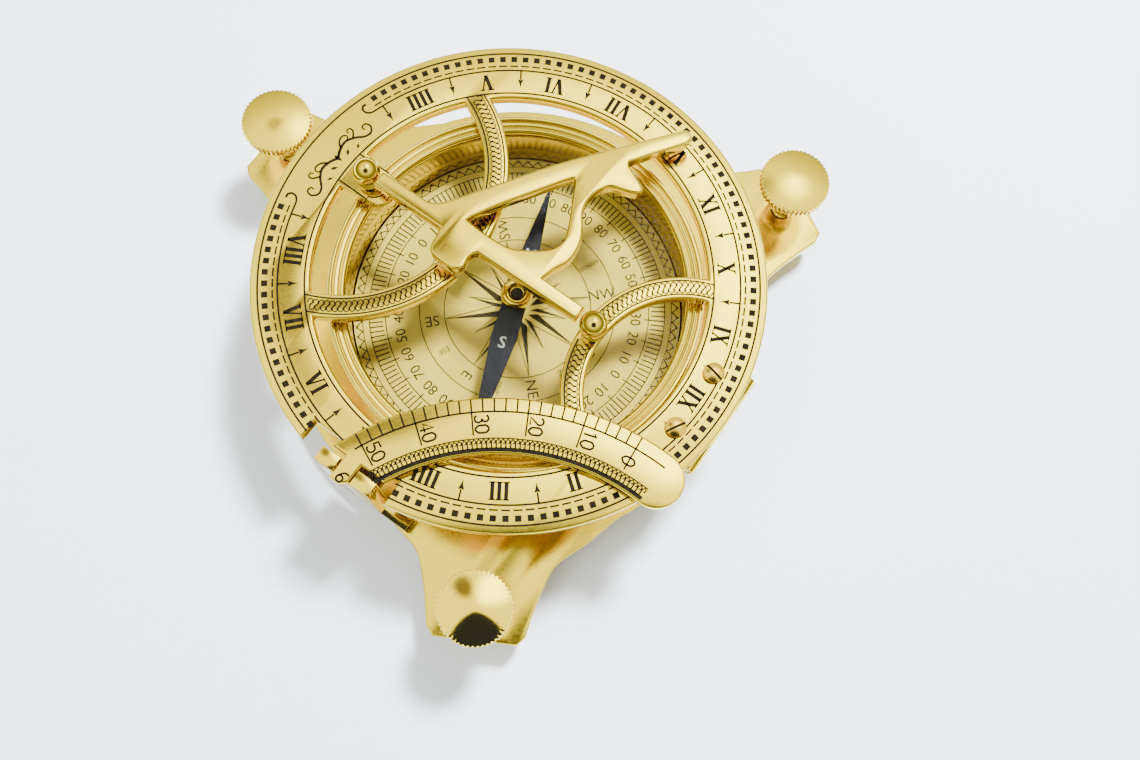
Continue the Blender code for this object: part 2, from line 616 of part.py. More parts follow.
def arc_bracket():
    """Bracket of the latitude arc: an upright with a foot below and two ears above, and a
    plate under the ring that a bridge across the notch joins to it."""
    low_x, high_x = EAR_X
    low_y, high_y = EAR_FAR_Y[0], EAR_NEAR_Y[1]
    foot_bottom = PLATE_TOP + GAP
    upright = [(BRACKET_FOOT_Y, foot_bottom), (high_y, foot_bottom), (high_y, ARC_TOP),
               (EAR_NEAR_Y[0], ARC_TOP), (EAR_NEAR_Y[0], EAR_ROOT_Z), (EAR_FAR_Y[1], EAR_ROOT_Z),
               (EAR_FAR_Y[1], ARC_TOP), (low_y, ARC_TOP), (low_y, BRACKET_FOOT_TOP),
               (BRACKET_FOOT_Y, BRACKET_FOOT_TOP)]
    mesh = flat_mesh("arc_bracket", [upright], low_x, high_x, "X")
    obj = add_part("arc_bracket", mesh, "brass", RING_AXIS)
    bridge_y = (low_y + 0.3, ARC_TAIL_Y[1])
    plate = [(-40.2, 12.2), (-43.9, 12.2), (-43.9, bridge_y[1]), (low_x + 1.0, bridge_y[1]),
             (low_x + 1.0, bridge_y[0]), (-43.9, bridge_y[0]), (-43.9, -13.4), (-40.2, -13.4)]
    join_solids(obj, flat_mesh("bracket_plate", [plate], LEAF_BOTTOM, LEAF_TOP))
    cut(obj, rod_mesh("arc_pin_bore", PIN_BORE_R, (ARC_PIN_X, low_y - 1.0, ARC_PIN_Z),
                      (ARC_PIN_X, high_y + 1.0, ARC_PIN_Z), 12))
    head_top = LEAF_BOTTOM - GAP
    profile = [(0.0, RING_BOTTOM + 1.2), (SCREW_SHANK_R, RING_BOTTOM + 1.2),
               (SCREW_SHANK_R, head_top), (2.0, head_top), (1.8, head_top - 1.0),
               (0.0, head_top - 1.2)]
    for number, (x, y) in enumerate(BRACKET_SCREWS, 1):
        cut(obj, rod_mesh(f"bracket_screw_hole_{number}", SCREW_HOLE_R, (x, y, 24.0),
                          (x, y, 27.0), 10))
        name = f"arc_bracket_screw_{number}"
        add_part(name, turned_mesh(name, profile, 12), "brass", RING_AXIS,
                 (x, y - TILT_Y, -TILT_Z))


def latitude_arc():
    """Graduated arc with a rounded free end and a tail between the bracket's ears."""
    inner, outer = ARC_R
    middle, half = 0.5 * (inner + outer), 0.5 * (outer - inner)
    shoulder = [math.degrees(math.acos((ARC_SHOULDER_X - ARC_CENTRE[0]) / r)) for r in ARC_R]
    free_end = -2.6
    outline = arc(outer, shoulder[1], free_end, 20, ARC_CENTRE)
    outline += arc(half, free_end, free_end - 180.0, 10, polar(middle, free_end, ARC_CENTRE))[1:-1]
    outline += arc(inner, free_end, shoulder[0], 18, ARC_CENTRE)
    outline += [(ARC_SHOULDER_X, ARC_TAIL_Y[0]), (ARC_TAIL_X + 1.2, ARC_TAIL_Y[0]),
                (ARC_TAIL_X, ARC_TAIL_Y[0] + 1.4), (ARC_TAIL_X, ARC_TAIL_Y[1]),
                (ARC_SHOULDER_X, ARC_TAIL_Y[1])]
    mesh = flat_mesh("latitude_arc", [outline], ARC_BOTTOM, ARC_TOP)
    obj = add_part("latitude_arc", mesh, "brass", ARC_AXIS)
    join_solids(obj, rod_mesh("arc_knuckle", ARC_KNUCKLE_R,
                              (ARC_PIN_X, ARC_TAIL_Y[0] + 0.05, ARC_PIN_Z),
                              (ARC_PIN_X, ARC_TAIL_Y[1] - 0.05, ARC_PIN_Z), 16))
    cut(obj, rod_mesh("arc_knuckle_bore", PIN_BORE_R, (ARC_PIN_X, -2.0, ARC_PIN_Z),
                      (ARC_PIN_X, 5.0, ARC_PIN_Z), 12))


# ---------------------------------------------------------------- levelling feet

def levelling_screw(number, axis):
    """Knurled thumbscrew, with a rounded tip that stands in its foot."""
    tip = [(1.8, 3.9), (1.2, 3.7), (1.2, 1.6), (0.0, 1.5)]
    head = [(0.0, 23.3), (3.0, 23.15), (5.4, 22.8), (6.8, 22.3), (KNOB_R, 21.9), (KNOB_R, 20.3),
            (6.7, 19.9), (2.0, 19.5)]
    bulb = [(1.7, 18.0), (2.2, 17.0), (2.75, 15.5), (2.75, 14.0), (2.1, 12.6), (2.9, 12.0),
            (2.9, 11.2), (2.0, 10.9), (2.0, 4.3)]
    name = f"levelling_screw_{number}"
    mesh = turned_mesh(name, [*head, *bulb, *tip], 32)
    add_part(name, mesh, "brass", axis, AT_AXIS)


def foot(number, axis):
    """Swivel foot under a levelling screw."""
    profile = [(1.5, 3.4), (2.5, 3.4), (2.8, 2.6), (4.2, 1.6), (4.2, 0.3), (3.9, 0.0), (0.0, 0.0)]
    socket = [(0.0, 1.2), (1.5, 1.2)]
    name = f"foot_{number}"
    add_part(name, turned_mesh(name, [*socket, *profile], 24), "brass", axis, AT_AXIS)


def build():
    base_plate()
    compass_housing()
    bezel()
    glass_and_card()
    pivot_and_needle()
    for number, angle in enumerate(LOBE_ANGLES, 1):
        housing_screw(number, angle)
    hinge_bracket()
    hinge_pin("ring_hinge_pin", ROOT, (-HINGE_HALF_W, TILT_Y, TILT_Z),
              (HINGE_HALF_W, TILT_Y, TILT_Z))
    ring_leaf()
    chapter_ring()
    gnomon_post("gnomon_post_far", POST_Y[0], -1.0)
    gnomon_post("gnomon_post_near", POST_Y[1], 1.0)
    gnomon()
    arc_bracket()
    hinge_pin("arc_pin", RING_AXIS, (ARC_PIN_X, EAR_FAR_Y[0], ARC_PIN_Z),
              (ARC_PIN_X, EAR_NEAR_Y[1], ARC_PIN_Z))
    latitude_arc()
    for number, axis in enumerate(LOBE_AXES, 1):
        levelling_screw(number, axis)
        foot(number, axis)


build()
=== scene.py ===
"""Looks of the brass folding sundial compass.

Lengths are in millimetres until a mesh is finished, and angles in degrees. The layout's
zero is the hour ring's centre, which the frame's gnomon joint gives, with noon toward -Y,
and its heights are the frame's own. The compass stands a little nearer to noon.
"""
import json
import math

import bmesh
import bpy
from mathutils import Matrix, Vector
from mathutils.geometry import tessellate_polygon


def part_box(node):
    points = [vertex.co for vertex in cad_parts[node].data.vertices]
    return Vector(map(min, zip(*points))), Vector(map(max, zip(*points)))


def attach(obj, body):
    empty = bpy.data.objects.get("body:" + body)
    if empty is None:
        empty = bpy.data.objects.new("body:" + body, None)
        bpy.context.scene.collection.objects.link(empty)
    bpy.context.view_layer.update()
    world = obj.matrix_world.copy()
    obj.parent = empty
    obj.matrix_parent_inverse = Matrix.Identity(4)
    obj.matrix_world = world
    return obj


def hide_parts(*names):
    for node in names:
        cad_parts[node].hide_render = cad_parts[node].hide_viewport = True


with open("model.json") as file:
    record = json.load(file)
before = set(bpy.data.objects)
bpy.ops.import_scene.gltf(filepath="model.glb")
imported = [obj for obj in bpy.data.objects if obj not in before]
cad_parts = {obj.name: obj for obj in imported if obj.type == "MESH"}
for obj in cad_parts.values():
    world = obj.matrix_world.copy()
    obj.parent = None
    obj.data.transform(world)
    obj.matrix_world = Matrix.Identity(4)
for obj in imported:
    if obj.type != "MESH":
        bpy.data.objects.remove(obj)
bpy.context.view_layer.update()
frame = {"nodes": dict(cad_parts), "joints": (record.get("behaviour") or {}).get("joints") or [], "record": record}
MM = 0.001
JOINTS = {joint["name"]: joint for joint in frame["joints"]}
ZERO = Vector((*JOINTS["gnomon_fold"]["pos_m"][:2], 0.0))


def joint_point(name):
    """A joint's place in the layout, in millimetres."""
    return (Vector(JOINTS[name]["pos_m"]) - ZERO) / MM


def node_box(node):
    """A node's box in the layout, in millimetres."""
    low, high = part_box(node)
    return (low - ZERO) / MM, (high - ZERO) / MM


def node_centre(node):
    low, high = node_box(node)
    return 0.5 * (low.x + high.x), 0.5 * (low.y + high.y)


# ---------------------------------------------------------------- sizes from the frame

RING_LOW, RING_HIGH = node_box("chapter_ring")
RING_BOTTOM, RING_TOP = RING_LOW.z, RING_HIGH.z
RING_OUTER_R = RING_HIGH.y
RING_INNER_R = RING_OUTER_R - 11.5
PLATE_BOTTOM, PLATE_TOP = (corner.z for corner in node_box("base_plate"))
COMPASS = tuple(joint_point("needle_turn")[:2])
HOUSING_OUTER_R = node_box("compass_housing")[1].x - COMPASS[0]
HOUSING_BOTTOM, HOUSING_TOP = (corner.z for corner in node_box("compass_housing"))
BEZEL_R = node_box("bezel")[1].x - COMPASS[0]
BEZEL_BOTTOM, BEZEL_TOP = (corner.z for corner in node_box("bezel"))
GLASS_TOP = node_box("glass")[1].z
CARD_TOP = node_box("compass_card")[1].z
ARC_THICKNESS = 2.0
ARC_TOP = node_box("latitude_arc")[1].z
ARC_BOTTOM = ARC_TOP - ARC_THICKNESS
NEEDLE_BOTTOM, NEEDLE_TOP = (corner.z for corner in node_box("needle"))
GNOMON_BOTTOM, GNOMON_TOP = (corner.z for corner in node_box("gnomon"))
KNOB_TOP = node_box("levelling_screw_1")[1].z
KNOBS = [node_centre(f"levelling_screw_{number}") for number in (1, 2, 3)]
LOBE_ANGLES = [math.degrees(math.atan2(y - COMPASS[1], x - COMPASS[0])) for x, y in KNOBS]

# Engraving on the hour ring, as radii. The ring has 19 equal divisions. The two at the north
# stay empty, under the ornament, and so does the half-hour between them.
DIVISIONS = 19
NORTH_DIVISION = 9
DIVISION = 360.0 / DIVISIONS
NOON = -90.0
RIM_LINE_R = 48.45
SQUARES_R = 47.15
SQUARE = 1.2
DASH_R = 45.6
INNER_BAND_R = 44.65
NUMERAL_R = 42.05
NUMERAL_HEIGHT = 3.5
FACE_LINE_R = 39.5
BAND_START, BAND_END = 106.5, 433.0
SQUARE_COUNT = 116
HOURS = {0: "XII", 1: "XI", 2: "X", 3: "IX", 4: "VIII", 5: "VII", 6: "VI", 7: "V", 8: "IIII",
         11: "VIII", 12: "VII", 13: "VI", 14: "V", 15: "IIII", 16: "III", 17: "II", 18: "I"}

# Arms of the ring.
NORTH_ARM_Y, NORTH_ARM_R = 39.9, (27.1, 32.0)
SOUTH_ARM_Y, SOUTH_ARM_R = -40.7, (19.2, 23.7)
HEEL_GAP_X = (-6.1, 2.1)
TAB_HALF_W, TAB_END_Y = 4.3, 30.0
NOTCH_X, NOTCH_Y = -44.3, (-7.2, 12.6)
ARM_BORDER = 0.85
CHAIN_PITCH, CHAIN_WIDTH = 1.08, 2.3

# Latitude arc: its zero mark's angle, and the angle of ten degrees on its scale.
ARC_CENTRE = (-64.5, -43.2)
ARC_R = (42.0, 52.7)
ARC_FREE_END = -2.6
ARC_ZERO, ARC_TEN = 4.7, 12.03

# Compass card, as radii, and the way its needle lies.
SCALE_R = (27.2, 30.5)
ZIGZAG_R = (32.0, 32.7, 33.3)
NEEDLE_ANGLE = 19.5

# Knurling on the levelling screws' knobs.
KNURL_LOW_R, KNURL_LOW_Z = 6.9, 20.2
TEETH = 48
TOOTH_DEPTH = 0.32
GAP_SHARE = 0.5

# Engraved lines: their usual width, and how far the ink stands out and reaches in.
LINE = 0.37
RISE = 0.02
SUNK = 0.1


# ---------------------------------------------------------------- materials

def new_material(name):
    material = bpy.data.materials.new(name)
    material.use_nodes = True
    return material, material.node_tree.nodes, material.node_tree.links


def noise(nodes, links, scale, detail=4.0):
    """Noise in object space, in repeats per metre."""
    place = nodes.new("ShaderNodeTexCoord")
    texture = nodes.new("ShaderNodeTexNoise")
    texture.inputs["Scale"].default_value = scale
    texture.inputs["Detail"].default_value = detail
    links.new(place.outputs["Object"], texture.inputs["Vector"])
    return texture


def ramp(nodes, links, source, stops):
    """A colour ramp through (position, colour) stops."""
    colours = nodes.new("ShaderNodeValToRGB")
    elements = colours.color_ramp.elements
    elements[0].position, elements[0].color = stops[0][0], (*stops[0][1], 1.0)
    elements[1].position, elements[1].color = stops[-1][0], (*stops[-1][1], 1.0)
    for position, colour in stops[1:-1]:
        elements.new(position).color = (*colour, 1.0)
    links.new(source, colours.inputs["Fac"])
    return colours


def spread(nodes, links, source, low, high):
    """Stretches the middle of a 0 to 1 value over low to high."""
    scaled = nodes.new("ShaderNodeMapRange")
    scaled.inputs["From Min"].default_value = 0.3
    scaled.inputs["From Max"].default_value = 0.7
    scaled.inputs["To Min"].default_value = low
    scaled.inputs["To Max"].default_value = high
    links.new(source, scaled.inputs["Value"])
    return scaled


def brass(name, light, deep, rough, grain=2600.0, bump=0.012, turned=0.0):
    """Polished brass: slow drifts of tint, fine polishing marks and a little tarnish. A
    turned face has marks that run round its axis, and a sheen across them."""
    material, nodes, links = new_material(name)
    shader = nodes["Principled BSDF"]
    shader.inputs["Metallic"].default_value = 1.0
    drift = noise(nodes, links, 45.0)
    tint = ramp(nodes, links, drift.outputs["Fac"], ((0.3, deep), (0.62, light)))
    marks = noise(nodes, links, grain, 6.0)
    roughness = spread(nodes, links, marks.outputs["Fac"], rough * 0.8, rough * 1.25)
    relief = nodes.new("ShaderNodeBump")
    relief.inputs["Strength"].default_value = bump
    relief.inputs["Distance"].default_value = 0.00005
    if turned:
        shader.inputs["Anisotropic"].default_value = turned
        tangent = nodes.new("ShaderNodeTangent")
        tangent.direction_type = "RADIAL"
        tangent.axis = "Z"
        links.new(tangent.outputs["Tangent"], shader.inputs["Tangent"])
    links.new(marks.outputs["Fac"], relief.inputs["Height"])
    links.new(tint.outputs["Color"], shader.inputs["Base Color"])
    links.new(roughness.outputs["Result"], shader.inputs["Roughness"])
    links.new(relief.outputs["Normal"], shader.inputs["Normal"])
    return material


def spotted(name, base, dark, rough, shine=0.5, scale=900.0):
    """Paint, print or blacked metal with a fine mottle."""
    material, nodes, links = new_material(name)
    shader = nodes["Principled BSDF"]
    shader.inputs["Specular IOR Level"].default_value = shine
    mottle = noise(nodes, links, scale, 5.0)
    tint = ramp(nodes, links, mottle.outputs["Fac"], ((0.3, dark), (0.65, base)))
    roughness = spread(nodes, links, mottle.outputs["Fac"], rough * 1.2, rough * 0.85)
    links.new(tint.outputs["Color"], shader.inputs["Base Color"])
    links.new(roughness.outputs["Result"], shader.inputs["Roughness"])
    return material


def clear_glass(name):
    """Thin clear glass: it lets the light through and mirrors more at a glancing angle."""
    material, nodes, links = new_material(name)
    nodes.remove(nodes["Principled BSDF"])
    through = nodes.new("ShaderNodeBsdfTransparent")
    through.inputs["Color"].default_value = (0.97, 0.98, 0.96, 1.0)
    mirror = nodes.new("ShaderNodeBsdfGlossy")
    mirror.inputs["Roughness"].default_value = 0.03
    facing = nodes.new("ShaderNodeLayerWeight")
    facing.inputs["Blend"].default_value = 0.10
    mix = nodes.new("ShaderNodeMixShader")
    links.new(facing.outputs["Fresnel"], mix.inputs["Fac"])
    links.new(through.outputs["BSDF"], mix.inputs[1])
    links.new(mirror.outputs["BSDF"], mix.inputs[2])
    links.new(mix.outputs["Shader"], nodes["Material Output"].inputs["Surface"])
    return material


FACE_BRASS = brass("face_brass", (0.92, 0.71, 0.03), (0.85, 0.62, 0.02), 0.13)
BRIGHT_BRASS = brass("bright_brass", (0.90, 0.69, 0.03), (0.80, 0.58, 0.02), 0.10, 1800.0)
# Darker brass for the bowl and bezel: painted shade for their place under the ring.
SHADED_BOWL_BRASS = brass("bowl_brass_painted_shade", (0.78, 0.62, 0.045), (0.56, 0.42, 0.02), 0.13, 1800.0)
BASE_BRASS = brass("base_brass", (0.90, 0.69, 0.03), (0.83, 0.60, 0.02), 0.19, 1400.0)
TURNED_BRASS = brass("turned_brass", (0.92, 0.71, 0.03), (0.85, 0.62, 0.02), 0.17, 1800.0,
                     turned=0.8)
MIRROR_BRASS = brass("mirror_brass", (0.92, 0.72, 0.04), (0.87, 0.65, 0.025), 0.06, 1400.0)
SCREW_BRASS = brass("screw_brass", (0.78, 0.52, 0.03), (0.66, 0.40, 0.02), 0.16, 1800.0)
# Black fill for the engraved lines, also used as painted shade at the bottom of the screw slots.
INK_AND_SLOT_SHADE = spotted("engraving_ink_and_slot_shade", (0.010, 0.007, 0.003), (0.004, 0.003, 0.002), 0.7, 0.15)
CARD_PAPER = spotted("card_paper", (0.53, 0.38, 0.045), (0.42, 0.29, 0.03), 0.6, 0.2, 70.0)
CARD_PRINT = spotted("card_print", (0.030, 0.022, 0.008), (0.016, 0.012, 0.005), 0.7, 0.1)
NEEDLE_BLACK = spotted("needle_black", (0.010, 0.010, 0.012), (0.006, 0.006, 0.008), 0.5, 0.2)
LETTER_WHITE = spotted("letter_white", (0.36, 0.35, 0.30), (0.30, 0.29, 0.24), 0.6, 0.2)
STEEL = brass("steel", (0.60, 0.60, 0.60), (0.48, 0.48, 0.50), 0.25)
GLASS = clear_glass("clear_glass")


# ---------------------------------------------------------------- outlines

def polar(radius, angle, centre=(0.0, 0.0)):
    a = math.radians(angle)
    return (centre[0] + radius * math.cos(a), centre[1] + radius * math.sin(a))


def arc(radius, start, end, steps, centre=(0.0, 0.0)):
    return [polar(radius, start + (end - start) * i / steps, centre) for i in range(steps + 1)]


def circle(radius, steps, centre=(0.0, 0.0)):
    return arc(radius, 0.0, 360.0, steps, centre)[:-1]


def smooth(points, steps=4):
    """Points along a smooth curve through the given points."""
    padded = [points[0], *points, points[-1]]
    path = []
    for p0, p1, p2, p3 in zip(padded, padded[1:], padded[2:], padded[3:]):
        for i in range(steps):
            t = i / steps
            path.append(tuple(
                0.5 * (2 * b + (c - a) * t + (2 * a - 5 * b + 4 * c - d) * t * t
                       + (3 * b - a - 3 * c + d) * t ** 3)
                for a, b, c, d in zip(p0, p1, p2, p3)))
    path.append(points[-1])
    return path


def turn(points, angle):
    """Points turned about the layout's zero."""
    c, s = math.cos(math.radians(angle)), math.sin(math.radians(angle))
    return [(x * c - y * s, x * s + y * c) for x, y in points]


class Place:
    """A spot on a face, with its own right and up, for a glyph or a tick."""

    def __init__(self, x, y, up_angle):
        self.origin = Vector((x, y))
        self.up = Vector(polar(1.0, up_angle))
        self.right = Vector(polar(1.0, up_angle - 90.0))

    def at(self, u, v):
        return tuple(self.origin + self.right * u + self.up * v)

    def all(self, points):
        return [self.at(u, v) for u, v in points]

    def matrix(self, z):
        return Matrix(((self.right.x, self.up.x, 0, self.origin.x),
                       (self.right.y, self.up.y, 0, self.origin.y),
                       (0, 0, 1, z), (0, 0, 0, 1)))


# ---------------------------------------------------------------- meshes

def add_object(name, data):
    """A new object in the scene."""
    added = bpy.data.objects.new(name, data)
    bpy.context.scene.collection.objects.link(added)
    return added


def evaluated_mesh(source):
    """A new mesh of an object as the viewport evaluates it."""
    bpy.context.view_layer.update()
    evaluated = source.evaluated_get(bpy.context.evaluated_depsgraph_get())
    return bpy.data.meshes.new_from_object(evaluated)


def finish_mesh(name, bm, body, material, replaces=(), sharp=35.0):
    """Turns a bmesh in layout millimetres into a piece that rides on a body."""
    bmesh.ops.recalc_face_normals(bm, faces=bm.faces)
    bm.transform(Matrix.Translation(ZERO) @ Matrix.Scale(MM, 4))
    mesh = bpy.data.meshes.new(name)
    bm.to_mesh(mesh)
    bm.free()
    mesh.materials.append(material)
    mesh.shade_smooth()
    mesh.set_sharp_from_angle(angle=math.radians(sharp))
    piece = add_object(name, mesh)
    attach(piece, body)
    if replaces:
        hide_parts(*replaces)
    return piece


def plate_bmesh(loops, low, high, rounding):
    """A plate with rounded edges, in layout millimetres."""
    curve = bpy.data.curves.new("plate", "CURVE")
    curve.dimensions = "2D"
    curve.fill_mode = "BOTH"
    curve.bevel_depth = rounding
    curve.bevel_resolution = 3
    curve.offset = -rounding
    curve.extrude = 0.5 * (high - low) - rounding
    for loop in loops:
        spline = curve.splines.new("POLY")
        spline.points.add(len(loop) - 1)
        for point, (x, y) in zip(spline.points, loop):
            point.co = (x, y, 0.0, 1.0)
        spline.use_cyclic_u = True
    holder = add_object("plate", curve)
    mesh = evaluated_mesh(holder)
    bpy.data.objects.remove(holder, do_unlink=True)
    bm = bmesh.new()
    bm.from_mesh(mesh)
    bpy.data.meshes.remove(mesh)
    bmesh.ops.remove_doubles(bm, verts=bm.verts, dist=0.002)
    bmesh.ops.translate(bm, verts=bm.verts, vec=(0.0, 0.0, 0.5 * (low + high)))
    return bm


def turned_bmesh(profile, steps, centre=(0.0, 0.0), radius_at=None):
    """A turned solid from (radius, z) points. A profile that starts and ends on the axis
    is closed there. radius_at may change a radius with the angle."""
    bm = bmesh.new()
    rings = []
    for r, z in profile:
        if r == 0.0:
            rings.append([bm.verts.new((*centre, z))])
            continue
        ring = []
        for i in range(steps):
            angle = 360.0 * i / steps
            radius = radius_at(r, z, angle) if radius_at else r
            ring.append(bm.verts.new((*polar(radius, angle, centre), z)))
        rings.append(ring)
    pairs = list(zip(rings, rings[1:]))
    if len(rings[0]) > 1:
        pairs.append((rings[-1], rings[0]))
    for a, b in pairs:
        for i in range(steps):
            j = (i + 1) % steps
            corners = [a[i % len(a)], a[j % len(a)], b[j % len(b)], b[i % len(b)]]
            kept = [v for k, v in enumerate(corners) if v not in corners[:k]]
            if len(kept) > 2:
                bm.faces.new(kept)
    return bm


def round_profile(points, radius, steps=3):
    """Rounds the corners between straight stretches of a profile."""
    rounded = [points[0]]
    for a, b, c in zip(points, points[1:], points[2:]):
        a, b, c = Vector(a), Vector(b), Vector(c)
        reach = min(radius, 0.45 * (b - a).length, 0.45 * (c - b).length)
        start, end = b + (a - b).normalized() * reach, b + (c - b).normalized() * reach
        for i in range(steps + 1):
            t = i / steps
            rounded.append(tuple(start * (1 - t) ** 2 + b * 2 * t * (1 - t) + end * t ** 2))
    rounded.append(points[-1])
    return rounded


CAPITAL_SHARE = 0.72  # a capital's height in a font of size 1


class Inlay:
    """Flat filled shapes on a face, all of one colour: lines, outlines and letters."""

    def __init__(self, face_z, rise=RISE):
        self.bm = bmesh.new()
        self.top, self.bottom = face_z + rise, face_z - SUNK

    def fill(self, outline):
        flat = [Vector((x, y, 0.0)) for x, y in outline]
        top = [self.bm.verts.new((x, y, self.top)) for x, y in outline]
        low = [self.bm.verts.new((x, y, self.bottom)) for x, y in outline]
        for i, j, k in tessellate_polygon([flat]):
            self.bm.faces.new((top[i], top[j], top[k]))
            self.bm.faces.new((low[k], low[j], low[i]))
        for i in range(len(top)):
            j = (i + 1) % len(top)
            self.bm.faces.new((top[i], top[j], low[j], low[i]))

    def line(self, points, width, end_width=None, closed=False):
        """A stroke along a path. Its width may change evenly to end_width."""
        count = len(points)
        end_width = width if end_width is None else end_width
        sides = []
        for i, point in enumerate(points):
            before = points[i - 1] if i or closed else point
            after = points[(i + 1) % count] if i + 1 < count or closed else point
            along = (Vector(after) - Vector(before)).normalized()
            half = 0.5 * (width + (end_width - width) * i / max(count - 1, 1))
            across = Vector((-along.y, along.x)) * half
            sides.append((Vector(point) + across, Vector(point) - across))
        top, low = ([[self.bm.verts.new((*side, z)) for side in pair] for pair in sides]
                    for z in (self.top, self.bottom))
        for i in range(count if closed else count - 1):
            j = (i + 1) % count
            self.bm.faces.new((top[i][0], top[i][1], top[j][1], top[j][0]))
            self.bm.faces.new((low[i][1], low[i][0], low[j][0], low[j][1]))
            for side in (0, 1):
                self.bm.faces.new((top[i][side], top[j][side], low[j][side], low[i][side]))
        if not closed:
            for i in (0, count - 1):
                self.bm.faces.new((top[i][0], top[i][1], low[i][1], low[i][0]))

    def text(self, words, height, place):
        """Words in Blender's own plain font, centred on a place."""
        curve = bpy.data.curves.new("words", "FONT")
        curve.body = words
        curve.size = height / CAPITAL_SHARE
        curve.align_x = "CENTER"
        curve.align_y = "CENTER"
        curve.resolution_u = 3
        curve.extrude = 0.5 * (self.top - self.bottom)
        holder = add_object("words", curve)
        mesh = evaluated_mesh(holder)
        bpy.data.objects.remove(holder, do_unlink=True)
        mesh.transform(place.matrix(0.5 * (self.top + self.bottom)))
        self.bm.from_mesh(mesh)
        bpy.data.meshes.remove(mesh)

    def number(self, word, height, place, width):
        """A number in engraved strokes, centred on a place."""
        advance = DIGIT_ADVANCE * height
        for index, digit in enumerate(word):
            shift = (index - 0.5 * (len(word) - 1)) * advance
            for stroke in DIGITS[digit]:
                path = [(shift + u * height, v * height) for u, v in stroke]
                self.line(place.all(path), width)

    def finish(self, name, body, material):
        return finish_mesh(name, self.bm, body, material, sharp=60.0)


# The latitude scale's digits, as strokes in a box one unit high.
DIGIT_ADVANCE = 0.74
DIGITS = {
    "0": (smooth([(0.0, 0.5), (-0.24, 0.3), (-0.27, 0.0), (-0.24, -0.3), (0.0, -0.5),
                  (0.24, -0.3), (0.27, 0.0), (0.24, 0.3), (0.0, 0.5)], 4),),
    "1": ([(-0.2, 0.26), (0.02, 0.5), (0.02, -0.5)],),
    "2": (arc(0.26, 165.0, -40.0, 10, (0.0, 0.24)) + [(-0.27, -0.46), (0.29, -0.46)],),
    "3": (arc(0.24, 155.0, -90.0, 10, (-0.02, 0.26)), arc(0.27, 90.0, -155.0, 10, (-0.02, -0.23))),
    "4": ([(0.12, -0.5), (0.12, 0.5), (-0.29, -0.2), (0.32, -0.2)],),
    "5": ([(0.25, 0.46), (-0.18, 0.46), (-0.24, 0.05)],
          arc(0.29, 120.0, -150.0, 12, (-0.02, -0.2))),
    "6": (circle(0.26, 14, (0.0, -0.24)) + [(0.26, -0.24)],
          smooth([(-0.26, -0.24), (-0.24, 0.1), (-0.12, 0.36), (0.16, 0.5)], 4)),
}


# ---------------------------------------------------------------- base and compass

def at_compass(points):
    """Points about the compass axis, in the layout."""
    return [(x + COMPASS[0], y + COMPASS[1]) for x, y in points]


def base_plate():
    """Three lobes, mirrored about their middles, with a round edge between each two."""
    side = [(65.6, 9.8), (60.6, 10.8), (53.4, 12.9), (50.2, 14.9), (46.4, 19.4), (43.3, 22.4)]
    upper = [(67.4, 8.3), *smooth(side, 6)]
    lower = [(x, -y) for x, y in reversed(upper)]
    third = [*lower, *upper, *arc(47.5, 33.0, 87.0, 30)]
    outline = [point for angle in LOBE_ANGLES for point in turn(third, angle)]
    holes = [circle(2.3, 24, centre) for centre in KNOBS]
    bm = plate_bmesh([at_compass(outline), *holes], PLATE_BOTTOM, PLATE_TOP, 0.35)
    finish_mesh("base_plate_polished", bm, "base", BASE_BRASS, ["base_plate"])


def compass_bowl():
    outer, inner, floor_z = HOUSING_OUTER_R, HOUSING_OUTER_R - 2.0, CARD_TOP - 1.1
    profile = [(0.0, floor_z), (inner, floor_z), (inner, HOUSING_TOP), (outer, HOUSING_TOP),
               (outer, HOUSING_BOTTOM + 1.4), (outer, HOUSING_BOTTOM), (0.0, HOUSING_BOTTOM)]
    bm = turned_bmesh(round_profile(profile, 0.4), 144, COMPASS)
    # The bowl's darker brass is painted shade.
    finish_mesh("compass_bowl", bm, "base", SHADED_BOWL_BRASS, ["compass_housing"])


def bezel():
    """Two beads on top, inside a flat edge, and a groove round the outside."""
    outer, lip_z = HOUSING_OUTER_R, GLASS_TOP + 0.3
    rim = [(33.5, lip_z + 0.1), (33.6, 24.9), (33.9, 25.15), (34.3, 25.2), (34.45, 24.95),
           (34.7, 24.95), (34.85, 25.3), (35.6, 25.45), (35.75, 25.1), (35.95, 25.1),
           (36.05, BEZEL_TOP), (BEZEL_R - 0.2, BEZEL_TOP), (BEZEL_R, BEZEL_TOP - 0.5),
           (BEZEL_R, BEZEL_BOTTOM + 4.0), (BEZEL_R - 0.25, BEZEL_BOTTOM + 3.8),
           (BEZEL_R - 0.25, BEZEL_BOTTOM + 3.4), (BEZEL_R, BEZEL_BOTTOM + 3.2),
           (BEZEL_R, BEZEL_BOTTOM), (outer + 0.3, BEZEL_BOTTOM), (outer + 0.3, lip_z),
           (33.7, lip_z)]
    # The bezel shares the bowl's darker brass, which is painted shade.
    finish_mesh("bezel_turned", turned_bmesh(round_profile(rim, 0.25), 180, COMPASS), "base",
                SHADED_BOWL_BRASS, ["bezel"])


def card_angle(bearing):
    """Layout angle of a bearing: the card's north is towards noon, and it runs clockwise
    seen from above."""
    return NOON - bearing


def on_card(radius, angle):
    return polar(radius, angle, COMPASS)


